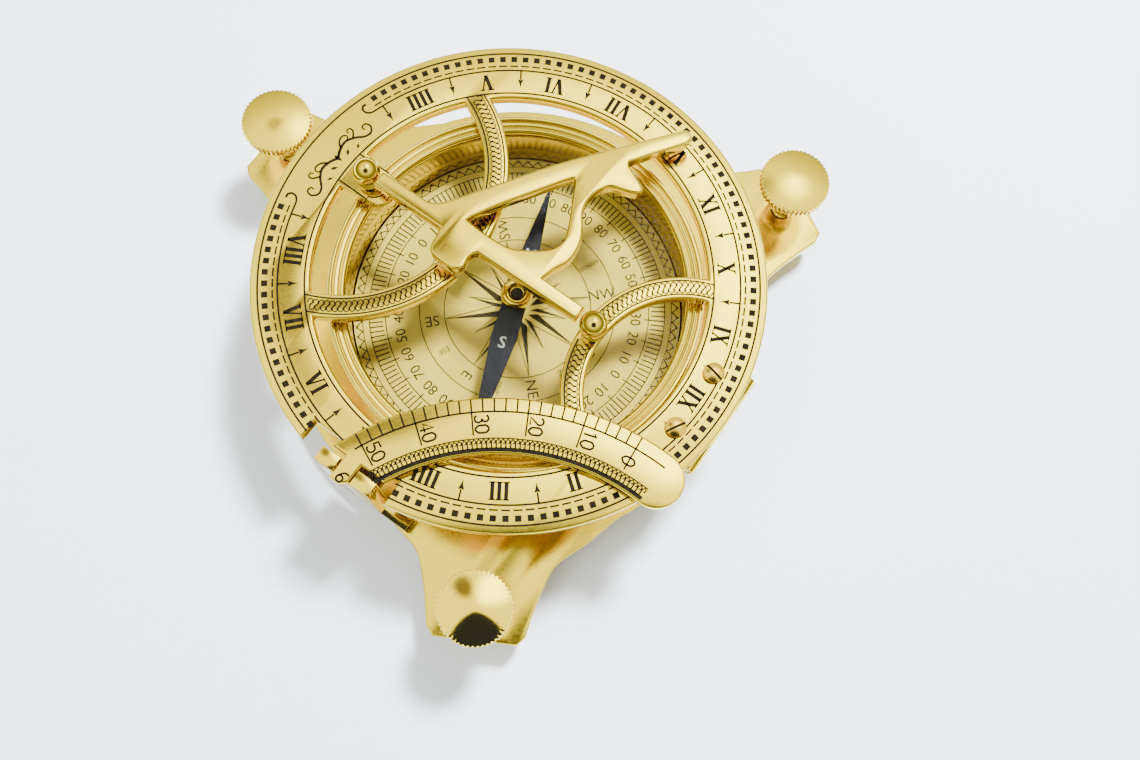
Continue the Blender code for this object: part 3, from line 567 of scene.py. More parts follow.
def degree_scale(ink):
    """A mark every two degrees, a number every ten, and a zigzag border outside."""
    inner, outer = SCALE_R
    for radius, width in ((31.9, 0.16), (outer, 0.2), (inner, 0.2), (20.2, 0.18), (15.1, 0.18)):
        ink.line(circle(radius, 120, COMPASS), width, closed=True)
    for step in range(180):
        angle = card_angle(step * 2.0)
        start = inner if step % 5 == 0 else inner + 0.5
        ink.line([on_card(start, angle), on_card(outer, angle)], 0.26)
    for bearing in range(0, 360, 10):
        angle = card_angle(bearing)
        reading = min(bearing % 180, 180 - bearing % 180)
        ink.text(str(reading), 2.2, Place(*on_card(24.4, angle), angle))
        ink.line([on_card(inner - 0.9, angle), on_card(inner, angle)], 0.24)
    for step in range(96):
        angle = card_angle(step * 3.75)
        for way in (-1.0, 1.0):
            ink.line([on_card(r, angle + way * a) for r, a in zip(ZIGZAG_R, (0.0, 0.9, 2.4))],
                     0.22)


def compass_rose(ink):
    """Eight daggers that reach the inner circle, eight short ones, and the points' names,
    which read outwards."""
    main_points = ("N", "NE", "E", "SE", "S", "SW", "W", "NW")
    small_points = ("NNE", "ENE", "ESE", "SSE", "SSW", "WSW", "WNW", "NNW")
    for points, first, radius, height in ((main_points, 0.0, 17.7, 2.3),
                                          (small_points, 22.5, 17.6, 1.2)):
        for step, name in enumerate(points):
            angle = card_angle(first + step * 45.0)
            ink.text(name, height, Place(*on_card(radius, angle), angle + 90.0))
    for step in range(16):
        ray = card_angle(22.5 * step)
        length, root, skew = (15.0, 4.4, 17.0) if step % 2 == 0 else (10.4, 4.2, 11.25)
        for side in (1.0, -1.0):
            half = [on_card(2.6, ray), on_card(length, ray), on_card(root, ray + skew * side)]
            if side > 0:
                ink.fill(half)
            else:
                ink.line(half[1:], 0.16)


def compass_card():
    card = frame["nodes"]["compass_card"].data
    card.materials.clear()
    card.materials.append(CARD_PAPER)
    ink = Inlay(CARD_TOP, rise=0.03)
    degree_scale(ink)
    compass_rose(ink)
    ink.finish("compass_card_print", "base", CARD_PRINT)


def needle():
    """The blade with its letters, and the cap with a jewel that it turns on."""
    side = [(-26.5, 0.18), (-21.3, 1.4), (-16.2, 1.9), (-9.3, 2.6), (0.0, 2.4), (4.0, 2.4),
            (25.5, 0.12)]
    outline = turn([*side, *[(x, -y) for x, y in reversed(side)]], NEEDLE_ANGLE)
    loops = [at_compass(outline), circle(2.0, 32, COMPASS)]
    bm = plate_bmesh(loops, NEEDLE_BOTTOM, NEEDLE_TOP, 0.1)
    finish_mesh("needle_blade", bm, "needle", NEEDLE_BLACK, ["needle"])
    letters = Inlay(NEEDLE_TOP)
    letters.text("N", 2.0, Place(*on_card(9.5, NEEDLE_ANGLE), NEEDLE_ANGLE + 180.0))
    letters.text("S", 2.5, Place(*on_card(-10.4, NEEDLE_ANGLE), NEEDLE_ANGLE))
    letters.finish("needle_letters", "needle", LETTER_WHITE)
    cap = [(0.0, 21.35), (1.4, 21.35), (1.65, 21.6), (1.8, 22.1), (2.2, 22.2), (2.75, 22.05),
           (3.1, 21.6), (3.2, 20.8), (1.75, 20.7), (1.7, 19.62), (1.25, 19.62), (0.3, 21.03),
           (0.0, 21.05)]
    finish_mesh("needle_cap_turned", turned_bmesh(cap, 64, COMPASS), "needle", BRIGHT_BRASS,
                ["needle_cap"])
    jewel = turned_bmesh([(0.0, 21.5), (1.3, 21.5), (1.3, 21.3), (0.0, 21.3)], 32, COMPASS)
    finish_mesh("needle_cap_jewel", jewel, "needle", INK_AND_SLOT_SHADE)


# ---------------------------------------------------------------- hour ring

def meeting_angle(band_y, band_r):
    """Where a circle about (0, band_y) meets the ring's inner edge, on the +X side."""
    y = (RING_INNER_R ** 2 - band_r ** 2 + band_y ** 2) / (2 * band_y)
    return math.degrees(math.asin(y / RING_INNER_R))


def band_edge(band_y, band_r, start_x, end_x, steps):
    """An arm's edge from one x to another: the part of its circle nearest the centre."""
    side = -1.0 if band_y > 0 else 1.0
    first, last = (math.degrees(math.acos(x / band_r)) * side for x in (start_x, end_x))
    return arc(band_r, first, last, steps, (0.0, band_y))


def ring_openings():
    """The two openings that leave the arms: the large one between the north arms, whose
    ends don't meet, and the south arm, and the small one behind the south arm."""
    inner, outer = NORTH_ARM_R
    left_gap, right_gap = HEEL_GAP_X
    north = {r: meeting_angle(NORTH_ARM_Y, r) for r in NORTH_ARM_R}
    south = {r: meeting_angle(SOUTH_ARM_Y, r) for r in SOUTH_ARM_R}
    x_at = {r: polar(RING_INNER_R, a)[0] for r, a in (*north.items(), *south.items())}
    tab_angle = math.degrees(math.acos(TAB_HALF_W / RING_INNER_R))
    near, far = SOUTH_ARM_R

    main = band_edge(NORTH_ARM_Y, outer, x_at[outer], right_gap, 36)
    main += band_edge(NORTH_ARM_Y, inner, right_gap, x_at[inner], 36)
    main += arc(RING_INNER_R, north[inner], tab_angle, 24)[1:]
    main += arc(TAB_HALF_W, 0.0, -180.0, 14, (0.0, TAB_END_Y + 2.4))[3:-3]
    main += arc(RING_INNER_R, 180.0 - tab_angle, 180.0 - north[inner], 24)
    main += band_edge(NORTH_ARM_Y, inner, -x_at[inner], left_gap, 36)[1:]
    main += band_edge(NORTH_ARM_Y, outer, left_gap, -x_at[outer], 36)
    main += arc(RING_INNER_R, 180.0 - north[outer], 180.0 - south[far], 48)[1:]
    main += band_edge(SOUTH_ARM_Y, far, -x_at[far], x_at[far], 48)[1:]
    main += arc(RING_INNER_R, south[far], north[outer], 48)[1:-1]

    low = band_edge(SOUTH_ARM_Y, near, x_at[near], -x_at[near], 40)
    low += arc(RING_INNER_R, 180.0 - south[near], 360.0 + south[near], 40)[1:-1]
    return [main, low]


def ring_body():
    """The ring with its arms, and a notch in its west edge for the arc's bracket."""
    start = math.degrees(math.asin(NOTCH_Y[0] / RING_OUTER_R))
    end = math.degrees(math.asin(NOTCH_Y[1] / RING_OUTER_R))
    outline = arc(RING_OUTER_R, -180.0 - start, 180.0 - end, 260)
    outline += [(NOTCH_X, NOTCH_Y[1]), (NOTCH_X, NOTCH_Y[0])]
    bm = plate_bmesh([outline, *ring_openings()], RING_BOTTOM, RING_TOP, 0.4)
    finish_mesh("hour_ring_polished", bm, "hour_ring", FACE_BRASS, ["chapter_ring"])


STROKES = {
    "I": (1.3, ((0.0, 0.0, 0.74),)),
    "V": (2.6, ((-0.85, 0.0, 0.8), (0.85, 0.0, 0.36))),
    "X": (2.6, ((-0.8, 0.8, 0.8), (0.8, -0.8, 0.36))),
}


def numeral(ink, word, place, height):
    """A serifed Roman numeral: thick and thin strokes from top to foot."""
    half = 0.5 * height
    at = -0.5 * sum(STROKES[letter][0] for letter in word)
    for letter in word:
        width, strokes = STROKES[letter]
        middle = at + 0.5 * width
        for top_u, foot_u, thick in strokes:
            w = 0.5 * thick
            a, b = middle + top_u, middle + foot_u
            ink.fill(place.all([(a - w, half), (b - w, -half), (b + w, -half), (a + w, half)]))
            serif = w + 0.25
            ends = [(a, half)] if letter == "V" else [(a, half), (b, -half)]
            for u, v in ends:
                edge = v - math.copysign(0.26, v)
                ink.fill(place.all([(u - serif, v), (u + serif, v), (u + serif, edge),
                                    (u - serif, edge)]))
        at += width


def arrow(ink, angle):
    """Half-hour pointer: a shaft and a barbed head that points to the centre."""
    ink.line([polar(INNER_BAND_R, angle), polar(42.6, angle)], 0.36)
    spot = Place(*polar(42.2, angle), angle)
    ink.fill(spot.all([(0.0, 0.3), (-0.62, 0.45), (-0.2, -0.6), (0.0, -1.6), (0.2, -0.6),
                       (0.62, 0.45)]))


def hour_scale():
    """Border lines, a row of squares and dashes, hour numerals and half-hour pointers."""
    ink = Inlay(RING_TOP)
    ink.line(ring_arc(RIM_LINE_R), LINE)
    ink.line(ring_arc(FACE_LINE_R), LINE)
    band = arc(INNER_BAND_R, BAND_START, BAND_END, 240)
    ink.line(cut_at_notch(band), LINE)
    step = (BAND_END - BAND_START) / SQUARE_COUNT
    for i in range(SQUARE_COUNT):
        angle = BAND_START + (i + 0.5) * step
        square = polar(SQUARES_R, angle)
        if square[0] > NOTCH_X or not NOTCH_Y[0] < square[1] < NOTCH_Y[1]:
            h = 0.5 * SQUARE
            spot = Place(*square, angle)
            ink.fill(spot.all([(-h, -h), (h, -h), (h, h), (-h, h)]))
            ink.line(arc(DASH_R, angle - 1.05, angle + 1.05, 3), 0.34)
    for angle, way in ((BAND_START, -1.0), (BAND_END, 1.0)):
        hook = [(44.65, 0.0), (44.75, 1.3), (45.3, 2.4), (46.2, 2.7), (46.9, 2.1), (46.9, 1.2)]
        ink.line(smooth([polar(r, angle + way * a) for r, a in hook], 5), LINE, 0.5)
    for index, word in HOURS.items():
        angle = NOON + index * DIVISION
        numeral(ink, word, Place(*polar(NUMERAL_R, angle), angle + 180.0), NUMERAL_HEIGHT)
    for index in range(DIVISIONS):
        if index != NORTH_DIVISION:
            arrow(ink, NOON + (index + 0.5) * DIVISION)
    ink.finish("hour_scale_engraving", "hour_ring", INK_AND_SLOT_SHADE)


def cut_at_notch(points):
    """The points of a path that lie on the ring, off the notch."""
    return [p for p in points if p[0] > NOTCH_X - 0.2 or not NOTCH_Y[0] < p[1] < NOTCH_Y[1]]


def ring_arc(radius):
    """A whole circle on the ring, or one that stops on both sides of the notch."""
    start = end = 0.0
    if radius > -NOTCH_X:
        start, end = (math.degrees(math.asin(y / radius)) for y in NOTCH_Y)
    return arc(radius, -180.0 - start, 180.0 - end, 260)


def scroll_ornament():
    """A plain scroll in the ring's blank stretch, between the two hooks."""
    ink = Inlay(RING_TOP)
    middle = 0.5 * (BAND_END - 360.0 + BAND_START)
    stem = [(42.3, 0.0), (43.2, 2.5), (43.5, 5.0), (42.7, 7.4), (41.5, 9.6), (41.4, 11.6),
            (42.5, 12.7), (43.6, 12.0), (43.4, 10.8), (42.6, 10.9)]
    long_curl = [(43.2, 2.6), (44.4, 3.8), (44.8, 5.4), (44.1, 6.3), (43.5, 5.5)]
    short_curl = [(42.9, 6.9), (44.0, 8.3), (44.9, 8.3), (45.0, 7.3), (44.3, 7.1)]
    for way in (-1.0, 1.0):
        for stroke, width, end_width in ((stem, 0.62, 0.3), (long_curl, 0.44, 0.26),
                                         (short_curl, 0.4, 0.26)):
            path = [polar(r, middle + way * a) for r, a in smooth(stroke, 6)]
            ink.line(path, width, end_width)
        for r, a, size in ((41.6, 3.0, 0.55), (41.0, 6.2, 0.45)):
            leaf = Place(*polar(r, middle + way * a), middle + way * (a + 50.0))
            ink.fill(leaf.all([(0.0, -size * 1.6), (size * 0.6, 0.0), (0.0, size * 1.6),
                               (-size * 0.6, 0.0)]))
    ink.fill(Place(*polar(42.3, middle), middle).all(
        [(0.0, -1.1), (0.45, 0.0), (0.0, 1.1), (-0.45, 0.0)]))
    ink.finish("ring_scroll_engraving", "hour_ring", INK_AND_SLOT_SHADE)


def chain(ink, centre, radius, start, end):
    """Curb chain along an arc of circle: two rows of links that open to each other."""
    span = math.radians(abs(end - start)) * radius
    count = int(span / CHAIN_PITCH)
    for i in range(count):
        angle = start + (end - start) * (i + 0.5) / count
        spot = Place(*polar(radius, angle, centre), angle)
        for way in (-1.0, 1.0):
            loop = [(way * (0.25 - 0.45 * math.cos(t)) * CHAIN_PITCH,
                     way * (-0.2 - 0.28 * math.sin(t)) * CHAIN_WIDTH)
                    for t in (math.radians(a) for a in range(-75, 206, 28))]
            ink.line(spot.all(loop), 0.24)


def arm_engraving():
    """Two border lines and a chain along each arm, from its inner end to the ring."""
    ink = Inlay(RING_TOP)
    for y, (inner, outer), gap_x in ((NORTH_ARM_Y, NORTH_ARM_R, HEEL_GAP_X),
                                     (SOUTH_ARM_Y, SOUTH_ARM_R, (-2.4, 2.4))):
        nearest = -90.0 if y > 0 else 90.0
        middle = 0.5 * (inner + outer)
        for way, gap in ((-1.0, gap_x[0]), (1.0, gap_x[1])):
            inset = abs(gap + way * 0.4)
            turned = way if y > 0 else -way
            for radius in (inner + ARM_BORDER, outer - ARM_BORDER):
                start = math.degrees(math.asin(inset / radius))
                end = rim_half_angle(y, radius)
                ink.line(arc(radius, nearest + turned * start, nearest + turned * end, 40,
                             (0.0, y)), 0.32)
            start = math.degrees(math.asin(inset / middle)) + 1.0
            end = rim_half_angle(y, middle) - 1.2
            chain(ink, (0.0, y), middle, nearest + turned * start, nearest + turned * end)
    ink.finish("arm_chain_engraving", "hour_ring", INK_AND_SLOT_SHADE)


def rim_half_angle(band_y, radius):
    """Half the angle that a band's circle spans inside the ring's face line."""
    cosine = (band_y ** 2 + radius ** 2 - FACE_LINE_R ** 2) / (2 * abs(band_y) * radius)
    return math.degrees(math.acos(cosine))


def tab_engraving():
    """A line just inside the edge of the tab under the gnomon's far post."""
    ink = Inlay(RING_TOP)
    ink.line([(3.4, 39.2), (3.5, 32.2), *arc(3.0, 0.0, -180.0, 12, (0.0, 33.2))[1:-1],
              (-3.5, 32.2), (-3.4, 39.2)], 0.32)
    ink.finish("tab_engraving", "hour_ring", INK_AND_SLOT_SHADE)


def slotted_screw(name, node, slot_angle):
    """Low domed screw with a driver slot, with painted shade in black at its bottom."""
    low, high = node_box(node)
    x, y = node_centre(node)
    r, top, slot_depth = 0.5 * (high.x - low.x), high.z, 0.5
    dome = [(0.95 * r * k / 6.0, top - 0.3 * (k / 6.0) ** 2) for k in range(7)]
    profile = [*dome, (r, top - 0.5), (r, top - 1.0), (1.0, top - 1.0), (1.0, low.z),
               (0.0, low.z)]
    bm = turned_bmesh(profile, 48, (x, y))
    screw = finish_mesh(name, bm, "hour_ring", SCREW_BRASS, [node])
    cut_box(screw, (x, y, top), (2 * r + 1.0, 0.5, 2 * slot_depth), slot_angle)
    # Painted shade: a black strip along the slot's bottom, where the slot lies in shade.
    shadow = Inlay(top - slot_depth)
    shadow.line(Place(x, y, slot_angle).all([(0.0, r), (0.0, -r)]), 0.48)
    shadow.finish(name + "_slot", "hour_ring", INK_AND_SLOT_SHADE)


def cut_box(piece, middle, size, angle):
    """Cuts a box out of a finished piece."""
    bm = bmesh.new()
    turned = Matrix.Rotation(math.radians(angle), 4, "Z")
    bmesh.ops.create_cube(bm, size=1.0, matrix=Matrix.Translation(middle) @ turned
                          @ Matrix.Diagonal((*size, 1.0)))
    bm.transform(Matrix.Translation(ZERO) @ Matrix.Scale(MM, 4))
    mesh = bpy.data.meshes.new("cutter")
    bm.to_mesh(mesh)
    bm.free()
    cutter = add_object("cutter", mesh)
    boolean = piece.modifiers.new("cut", "BOOLEAN")
    boolean.operation = "DIFFERENCE"
    boolean.object = cutter
    bake(piece)
    bpy.data.objects.remove(cutter, do_unlink=True)


def bake(piece):
    """Applies a piece's modifiers."""
    mesh = evaluated_mesh(piece)
    piece.modifiers.clear()
    piece.data = mesh
    mesh.shade_smooth()
    mesh.set_sharp_from_angle(angle=math.radians(35.0))


# ---------------------------------------------------------------- gnomon and arc

def ball_post(name, node):
    """A turned ball on a flared foot, with a shank down through the ring."""
    low, high = node_box(node)
    ball_r = 0.5 * (high.x - low.x)
    ball_z = high.z - ball_r
    foot_z = RING_TOP + 0.3
    ball = [(ball_r * math.sin(math.radians(a)), ball_z + ball_r * math.cos(math.radians(a)))
            for a in range(0, 141, 5)]
    profile = [*ball, (1.55, foot_z + 1.2), (2.3, foot_z + 0.45), (2.3, foot_z), (1.1, foot_z),
               (1.1, low.z), (0.0, low.z)]
    bm = turned_bmesh(profile, 64, node_centre(node))
    finish_mesh(name, bm, "hour_ring", BRIGHT_BRASS, [node])


def gnomon():
    """One flat casting: a straight axle, the style with its spur, and the heel."""
    w = 1.5
    far, near = 31.2, -16.2
    style = [(w, 20.6), (2.6, 18.5), (5.4, 16.4), (12.2, 11.9), (21.3, 5.9), (30.4, -1.0),
             (40.2, -8.6), (43.0, -11.0), (43.3, -12.2), (42.6, -13.2), (40.9, -13.0)]
    spur = [(30.4, -6.6), (28.6, -10.4), (27.6, -11.6), (26.3, -11.0), (25.4, -8.8),
            (24.6, -6.3), (23.0, -5.0), (20.9, -4.3), (18.8, -4.4), (16.8, -5.1), (14.4, -6.8),
            (11.4, -8.2), (7.6, -8.5), (4.4, -7.2), (w, -6.4)]
    heel = [(-w, 6.4), (-3.0, 7.3), (-5.2, 7.0), (-6.7, 8.2), (-6.8, 12.4), (-5.9, 14.4),
            (-3.2, 15.0), (-w, 15.4)]
    outline = [(w, far), *smooth(style, 5), (35.0, -8.8), (31.1, -6.1), *smooth(spur, 5),
               (w, near), (-w, near), *smooth(heel, 5), (-w, far)]
    window = [(2.9, 12.2), (8.6, 9.1), (15.0, 5.1), (21.2, 1.1), (21.3, 0.0), (19.0, -1.2),
              (16.4, -2.6), (13.2, -4.2), (10.5, -5.2), (8.0, -4.7), (6.1, -3.0), (4.3, -0.4),
              (2.9, 2.5), (2.6, 7.5), (2.9, 12.2)]
    bm = plate_bmesh([outline, smooth(window, 5)[:-1]], GNOMON_BOTTOM, GNOMON_TOP, 0.5)
    finish_mesh("gnomon_cast", bm, "gnomon", BRIGHT_BRASS, ["gnomon"])


def arc_angle(degrees):
    """Layout angle about the arc's centre of a reading on its scale."""
    return ARC_ZERO + ARC_TEN * degrees / 10.0


def latitude_arc():
    """The arc with a round free end, its tail across the bracket, and its knuckle."""
    inner, outer = ARC_R
    middle, half = 0.5 * (inner + outer), 0.5 * (outer - inner)
    shoulder_x, tail_x, tail_y = -46.3, -51.3, (-0.2, 3.4)
    shoulder = [math.degrees(math.acos((shoulder_x - ARC_CENTRE[0]) / r)) for r in ARC_R]
    end, end_centre = ARC_FREE_END, polar(middle, ARC_FREE_END, ARC_CENTRE)
    outline = arc(outer, shoulder[1], end, 90, ARC_CENTRE)
    outline += arc(half, end, end - 180.0, 30, end_centre)[1:-1]
    outline += arc(inner, end, shoulder[0], 80, ARC_CENTRE)
    outline += [(shoulder_x, tail_y[0]), (tail_x + 1.2, tail_y[0]), (tail_x, tail_y[0] + 1.4),
                (tail_x, tail_y[1]), (shoulder_x, tail_y[1])]
    bm = plate_bmesh([outline], ARC_BOTTOM, ARC_TOP, 0.4)
    finish_mesh("latitude_arc_polished", bm, "arc", FACE_BRASS, ["latitude_arc"])
    hinge = joint_point("arc_fold")
    knuckle = turned_bmesh([(0.0, 3.4), (1.2, 3.4), (1.45, 3.2), (1.45, 0.0), (1.2, -0.2),
                            (0.0, -0.2)], 32)
    knuckle.transform(Matrix.Translation((hinge.x, 0.0, hinge.z))
                      @ Matrix.Rotation(math.radians(-90.0), 4, "X"))
    finish_mesh("latitude_arc_knuckle", knuckle, "arc", BRIGHT_BRASS)


def arc_scale():
    """The scale's marks and numbers, and a rope border along the inner edge."""
    ink = Inlay(ARC_TOP)
    first, last = ARC_FREE_END, 66.5
    ink.line(arc(50.0, first, last, 90, ARC_CENTRE), 0.36)
    for tick in range(0, 52, 2):
        angle = arc_angle(tick)
        start = 45.6 if tick % 10 == 0 else 50.0
        ink.line([polar(start, angle, ARC_CENTRE), polar(52.45, angle, ARC_CENTRE)], 0.34)
    for ten in range(0, 60, 10):
        angle = arc_angle(ten)
        radius, back = (47.3, 0.0) if ten == 0 else (47.7, 2.1)
        place = Place(*polar(radius, angle - back, ARC_CENTRE), angle - 90.0)
        ink.number(str(ten), 2.6, place, 0.42)
    ink.number("6", 2.4, Place(-49.9, 1.3, -30.0), 0.42)
    ink.line(arc(44.95, first, last, 90, ARC_CENTRE), 0.26)
    ink.line(arc(42.85, first, last, 90, ARC_CENTRE), 0.8)
    strands = 60
    for i in range(strands):
        angle = first + 0.6 + (last - first - 1.0) * i / (strands - 1)
        spot = Place(*polar(43.95, angle, ARC_CENTRE), angle)
        ink.line(spot.all([(-0.42, -0.9), (-0.42, 0.4), (-0.1, 0.8), (0.3, 0.55), (0.22, 0.1),
                           (-0.1, 0.1)]), 0.3)
    ink.finish("arc_scale_engraving", "arc", INK_AND_SLOT_SHADE)


# ---------------------------------------------------------------- levelling screws

def knurled(r, z, angle):
    """Radius on the knob's rim, with a rounded notch between one tooth and the next."""
    if r < KNURL_LOW_R or z < KNURL_LOW_Z:
        return r
    across = abs((angle * TEETH / 360.0) % 1.0 - 0.5) / (0.5 * GAP_SHARE)
    return r - TOOTH_DEPTH * max(0.0, 1.0 - across ** 2)


def levelling_screw(number, body, foot_body):
    """Knurled thumbscrew with a domed top and a turned neck, and the foot it stands in. The
    second one's top is polished, and the others' are left as turned."""
    centre = KNOBS[number - 1]
    low, high = node_box(f"levelling_screw_{number}")
    rim = 0.5 * (high.x - low.x)
    shoulder = rim - 0.35
    dome_height, dome_steps = 0.9, 9
    dome = [(shoulder * k / dome_steps, KNOB_TOP - dome_height * (k / dome_steps) ** 1.7)
            for k in range(dome_steps + 1)]
    top = [*dome, (rim - 0.12, KNOB_TOP - 0.95), (rim, KNOB_TOP - 1.1),
           (rim, 20.7), (rim - 0.3, 20.3), (6.3, 20.0), (2.6, 19.6), (1.9, 19.2)]
    neck = smooth([(1.75, 18.2), (2.2, 17.2), (2.75, 15.6), (2.75, 14.2), (2.2, 13.0),
                   (2.05, 12.6)], 4)
    collar = [(2.5, 12.5), (2.9, 12.1), (2.9, 11.2), (2.5, 10.9), (2.0, 10.8), (2.0, 10.6)]
    thread_top, thread_pitch = 10.6, 0.35
    thread = []
    for turn_number in range(16):
        z = thread_top - thread_pitch * turn_number
        thread += [(1.82, z - 0.18), (2.0, z - thread_pitch)]
    tip = [(1.8, 4.0), (1.2, 3.7), (1.2, 1.6), (0.0, 1.5)]
    profile = [*top, *neck, *collar, *thread, *tip]
    bm = turned_bmesh(profile, TEETH * 6, centre, knurled)
    material = MIRROR_BRASS if number == 2 else TURNED_BRASS
    finish_mesh(f"thumbscrew_{number}", bm, body, material, [f"levelling_screw_{number}"])
    foot = [(0.0, 1.2), (1.5, 1.2), (1.5, 3.4), (2.4, 3.4), (2.75, 2.7), (3.3, 2.0), (4.1, 1.6),
            (4.2, 1.2), (4.2, 0.35), (3.9, 0.0), (0.0, 0.0)]
    finish_mesh(f"swivel_foot_{number}", turned_bmesh(foot, 64, centre), foot_body,
                BRIGHT_BRASS, [f"foot_{number}"])
    mark = Inlay(KNOB_TOP - 0.03)
    mark.fill(circle(0.16, 16, centre))
    mark.finish(f"thumbscrew_centre_{number}", body, INK_AND_SLOT_SHADE)


# ---------------------------------------------------------------- hinges and brackets

def soften(node, width):
    """A CAD node's own shape in bright brass, with its edges rounded."""
    source = frame["nodes"][node]
    body = next(b for b, members in frame["record"]["behaviour"]["bodies"].items()
                if node in members)
    bm = bmesh.new()
    bm.from_mesh(source.data)
    bmesh.ops.remove_doubles(bm, verts=bm.verts, dist=0.00001)
    bmesh.ops.dissolve_limit(bm, angle_limit=math.radians(2.0), verts=bm.verts, edges=bm.edges)
    name = f"{node}_polished"
    mesh = bpy.data.meshes.new(name)
    bm.to_mesh(mesh)
    bm.free()
    mesh.materials.append(BRIGHT_BRASS)
    piece = add_object(name, mesh)
    bevel = piece.modifiers.new("edges", "BEVEL")
    bevel.width = width * MM
    bevel.segments = 3
    bevel.limit_method = "ANGLE"
    bevel.angle_limit = math.radians(40.0)
    bake(piece)
    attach(piece, body)
    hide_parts(node)


def brackets():
    for node, width in (("arc_bracket", 0.22), ("ring_hinge_bracket", 0.25),
                        ("ring_hinge_leaf", 0.2), ("ring_hinge_pin", 0.15), ("arc_pin", 0.15)):
        soften(node, width)


def kept_nodes():
    """Gives the CAD pieces that show as they are their materials."""
    screws = ("bracket_screw_left", "bracket_screw_right", "arc_bracket_screw_1",
              "arc_bracket_screw_2", "housing_screw_1", "housing_screw_2", "housing_screw_3")
    for node, material in (("pivot_pin", STEEL), ("glass", GLASS),
                           *((screw, BRIGHT_BRASS) for screw in screws)):
        data = frame["nodes"][node].data
        data.materials.clear()
        data.materials.append(material)


# ---------------------------------------------------------------- studio

def studio():
    """A white floor, what the brass mirrors, and two lamps that it doesn't."""
    bm = bmesh.new()
    bmesh.ops.create_grid(bm, x_segments=1, y_segments=1, size=1.5)
    mesh = bpy.data.meshes.new("floor")
    bm.to_mesh(mesh)
    bm.free()
    mesh.materials.append(spotted("floor_white", (0.84, 0.88, 0.95), (0.81, 0.85, 0.92), 0.6,
                                  0.2, 6.0))
    add_object("floor", mesh)
    surroundings()
    for name, place, size, power in (("key", (0.42, -0.05, 0.75), 0.15, 34.0),
                                     ("fill", (-0.5, 0.2, 0.7), 0.8, 9.0)):
        lamp = bpy.data.lights.new(name, "AREA")
        lamp.energy = power
        lamp.size = size
        lamp.color = (0.88, 0.95, 1.0)
        holder = add_object(name, lamp)
        holder.location = place
        holder.rotation_euler = (-Vector(place)).to_track_quat("-Z", "Y").to_euler()
        holder.visible_glossy = False


def patch(nodes, links, direction, centre, inner, outer):
    """1 for directions near the centre, falling to 0 between inner and outer from it."""
    offset = nodes.new("ShaderNodeVectorMath")
    offset.operation = "SUBTRACT"
    offset.inputs[1].default_value = centre
    links.new(direction, offset.inputs[0])
    length = nodes.new("ShaderNodeVectorMath")
    length.operation = "LENGTH"
    links.new(offset.outputs["Vector"], length.inputs[0])
    edge = nodes.new("ShaderNodeMapRange")
    edge.interpolation_type = "SMOOTHSTEP"
    edge.inputs["From Min"].default_value = inner
    edge.inputs["From Max"].default_value = outer
    edge.inputs["To Min"].default_value = 1.0
    edge.inputs["To Max"].default_value = 0.0
    links.new(length.outputs["Value"], edge.inputs["Value"])
    return edge


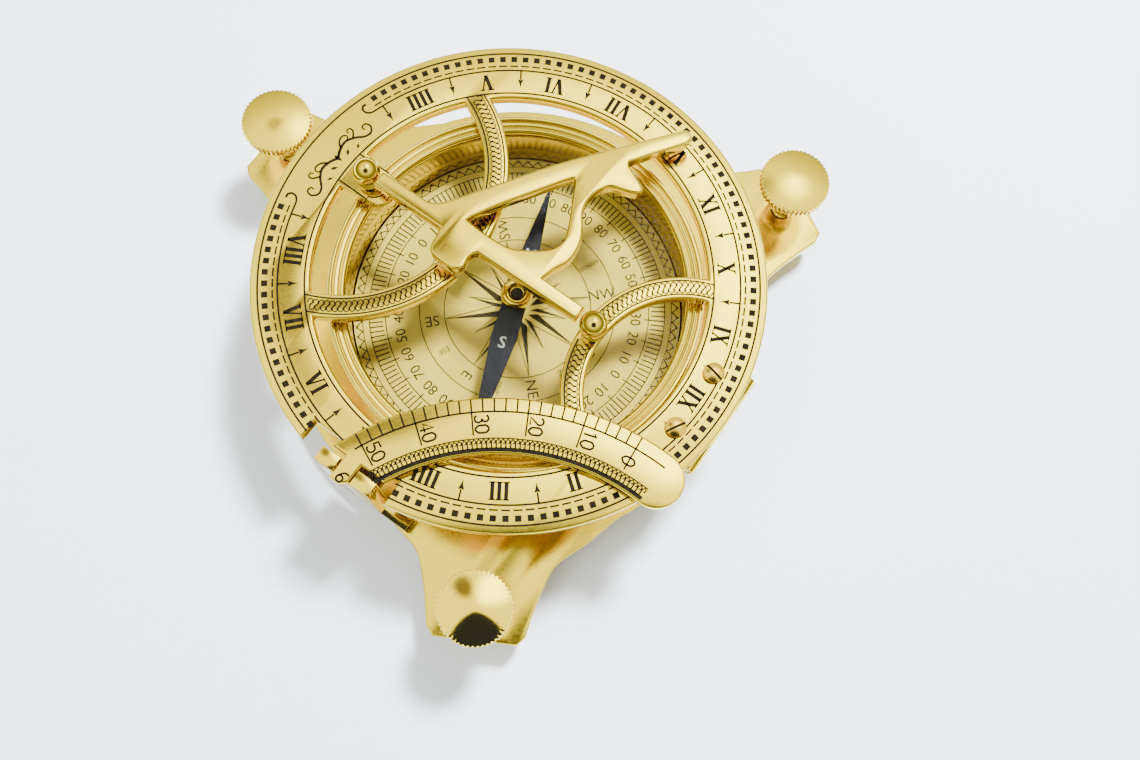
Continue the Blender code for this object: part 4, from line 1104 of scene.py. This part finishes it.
def surroundings():
    """A room for the brass to mirror: white overhead and brightest to one side, dim near the
    horizon, with a small dim patch and a wide dark one. It lights matt surfaces less."""
    world = bpy.data.worlds.new("studio")
    world.use_nodes = True
    nodes, links = world.node_tree.nodes, world.node_tree.links
    place = nodes.new("ShaderNodeTexCoord")
    direction = place.outputs["Generated"]
    split = nodes.new("ShaderNodeSeparateXYZ")
    links.new(direction, split.inputs["Vector"])
    sky = ramp(nodes, links, split.outputs["Z"],
               ((0.0, (0.10, 0.09, 0.07)), (0.4, (0.16, 0.14, 0.11)), (0.7, (0.62, 0.60, 0.50)),
                (0.85, (1.0, 0.98, 0.86))))
    shade = sky.outputs["Color"]
    for centre, inner, outer, colour in (
            ((0.38, 0.03, 0.92), 0.08, 0.30, (3.0, 3.0, 3.2)),
            ((0.17, 0.38, 0.91), 0.06, 0.19, (0.17, 0.14, 0.3)),
            ((-0.30, -0.20, 0.93), 0.33, 0.38, (0.015, 0.018, 0.2))):
        mix = nodes.new("ShaderNodeMix")
        mix.data_type = "RGBA"
        mix.inputs["B"].default_value = (*colour, 1.0)
        links.new(patch(nodes, links, direction, centre, inner, outer).outputs["Result"],
                  mix.inputs["Factor"])
        links.new(shade, mix.inputs["A"])
        shade = mix.outputs["Result"]
    links.new(shade, nodes["Background"].inputs["Color"])
    light_path = nodes.new("ShaderNodeLightPath")
    strength = spread(nodes, links, light_path.outputs["Is Diffuse Ray"], 2.5, 1.2)
    links.new(strength.outputs["Result"], nodes["Background"].inputs["Strength"])
    bpy.context.scene.world = world


def camera():
    """A viewpoint high over the south-west side, placed about the ring's centre."""
    lens = bpy.data.cameras.new("camera")
    lens.sensor_width = 36.0
    lens.lens = 36.09
    lens.clip_start = 0.01
    holder = add_object("camera", lens)
    place = Vector((-61.7, -50.0, RING_TOP + 207.3)) * MM + ZERO
    forward = Vector((0.2382, 0.1328, -0.9621)).normalized()
    up = Vector((0.7824, 0.5607, 0.2711))
    right = forward.cross(up).normalized()
    up = right.cross(forward)
    holder.matrix_world = Matrix((
        (right.x, up.x, -forward.x, place.x), (right.y, up.y, -forward.y, place.y),
        (right.z, up.z, -forward.z, place.z), (0.0, 0.0, 0.0, 1.0)))
    bpy.context.scene.camera = holder


def build():
    camera()
    studio()
    base_plate()
    compass_bowl()
    bezel()
    compass_card()
    needle()
    ring_body()
    hour_scale()
    scroll_ornament()
    arm_engraving()
    tab_engraving()
    slotted_screw("ring_screw_slotted_left", "ring_screw_left", -30.0)
    slotted_screw("ring_screw_slotted_right", "ring_screw_right", -102.0)
    ball_post("gnomon_ball_far", "gnomon_post_far")
    ball_post("gnomon_ball_near", "gnomon_post_near")
    gnomon()
    latitude_arc()
    arc_scale()
    for number in (1, 2, 3):
        levelling_screw(number, f"screw_{number}", f"foot_{number}")
    brackets()
    kept_nodes()


def corners(box):
    return [list(corner) for corner in box]


build()
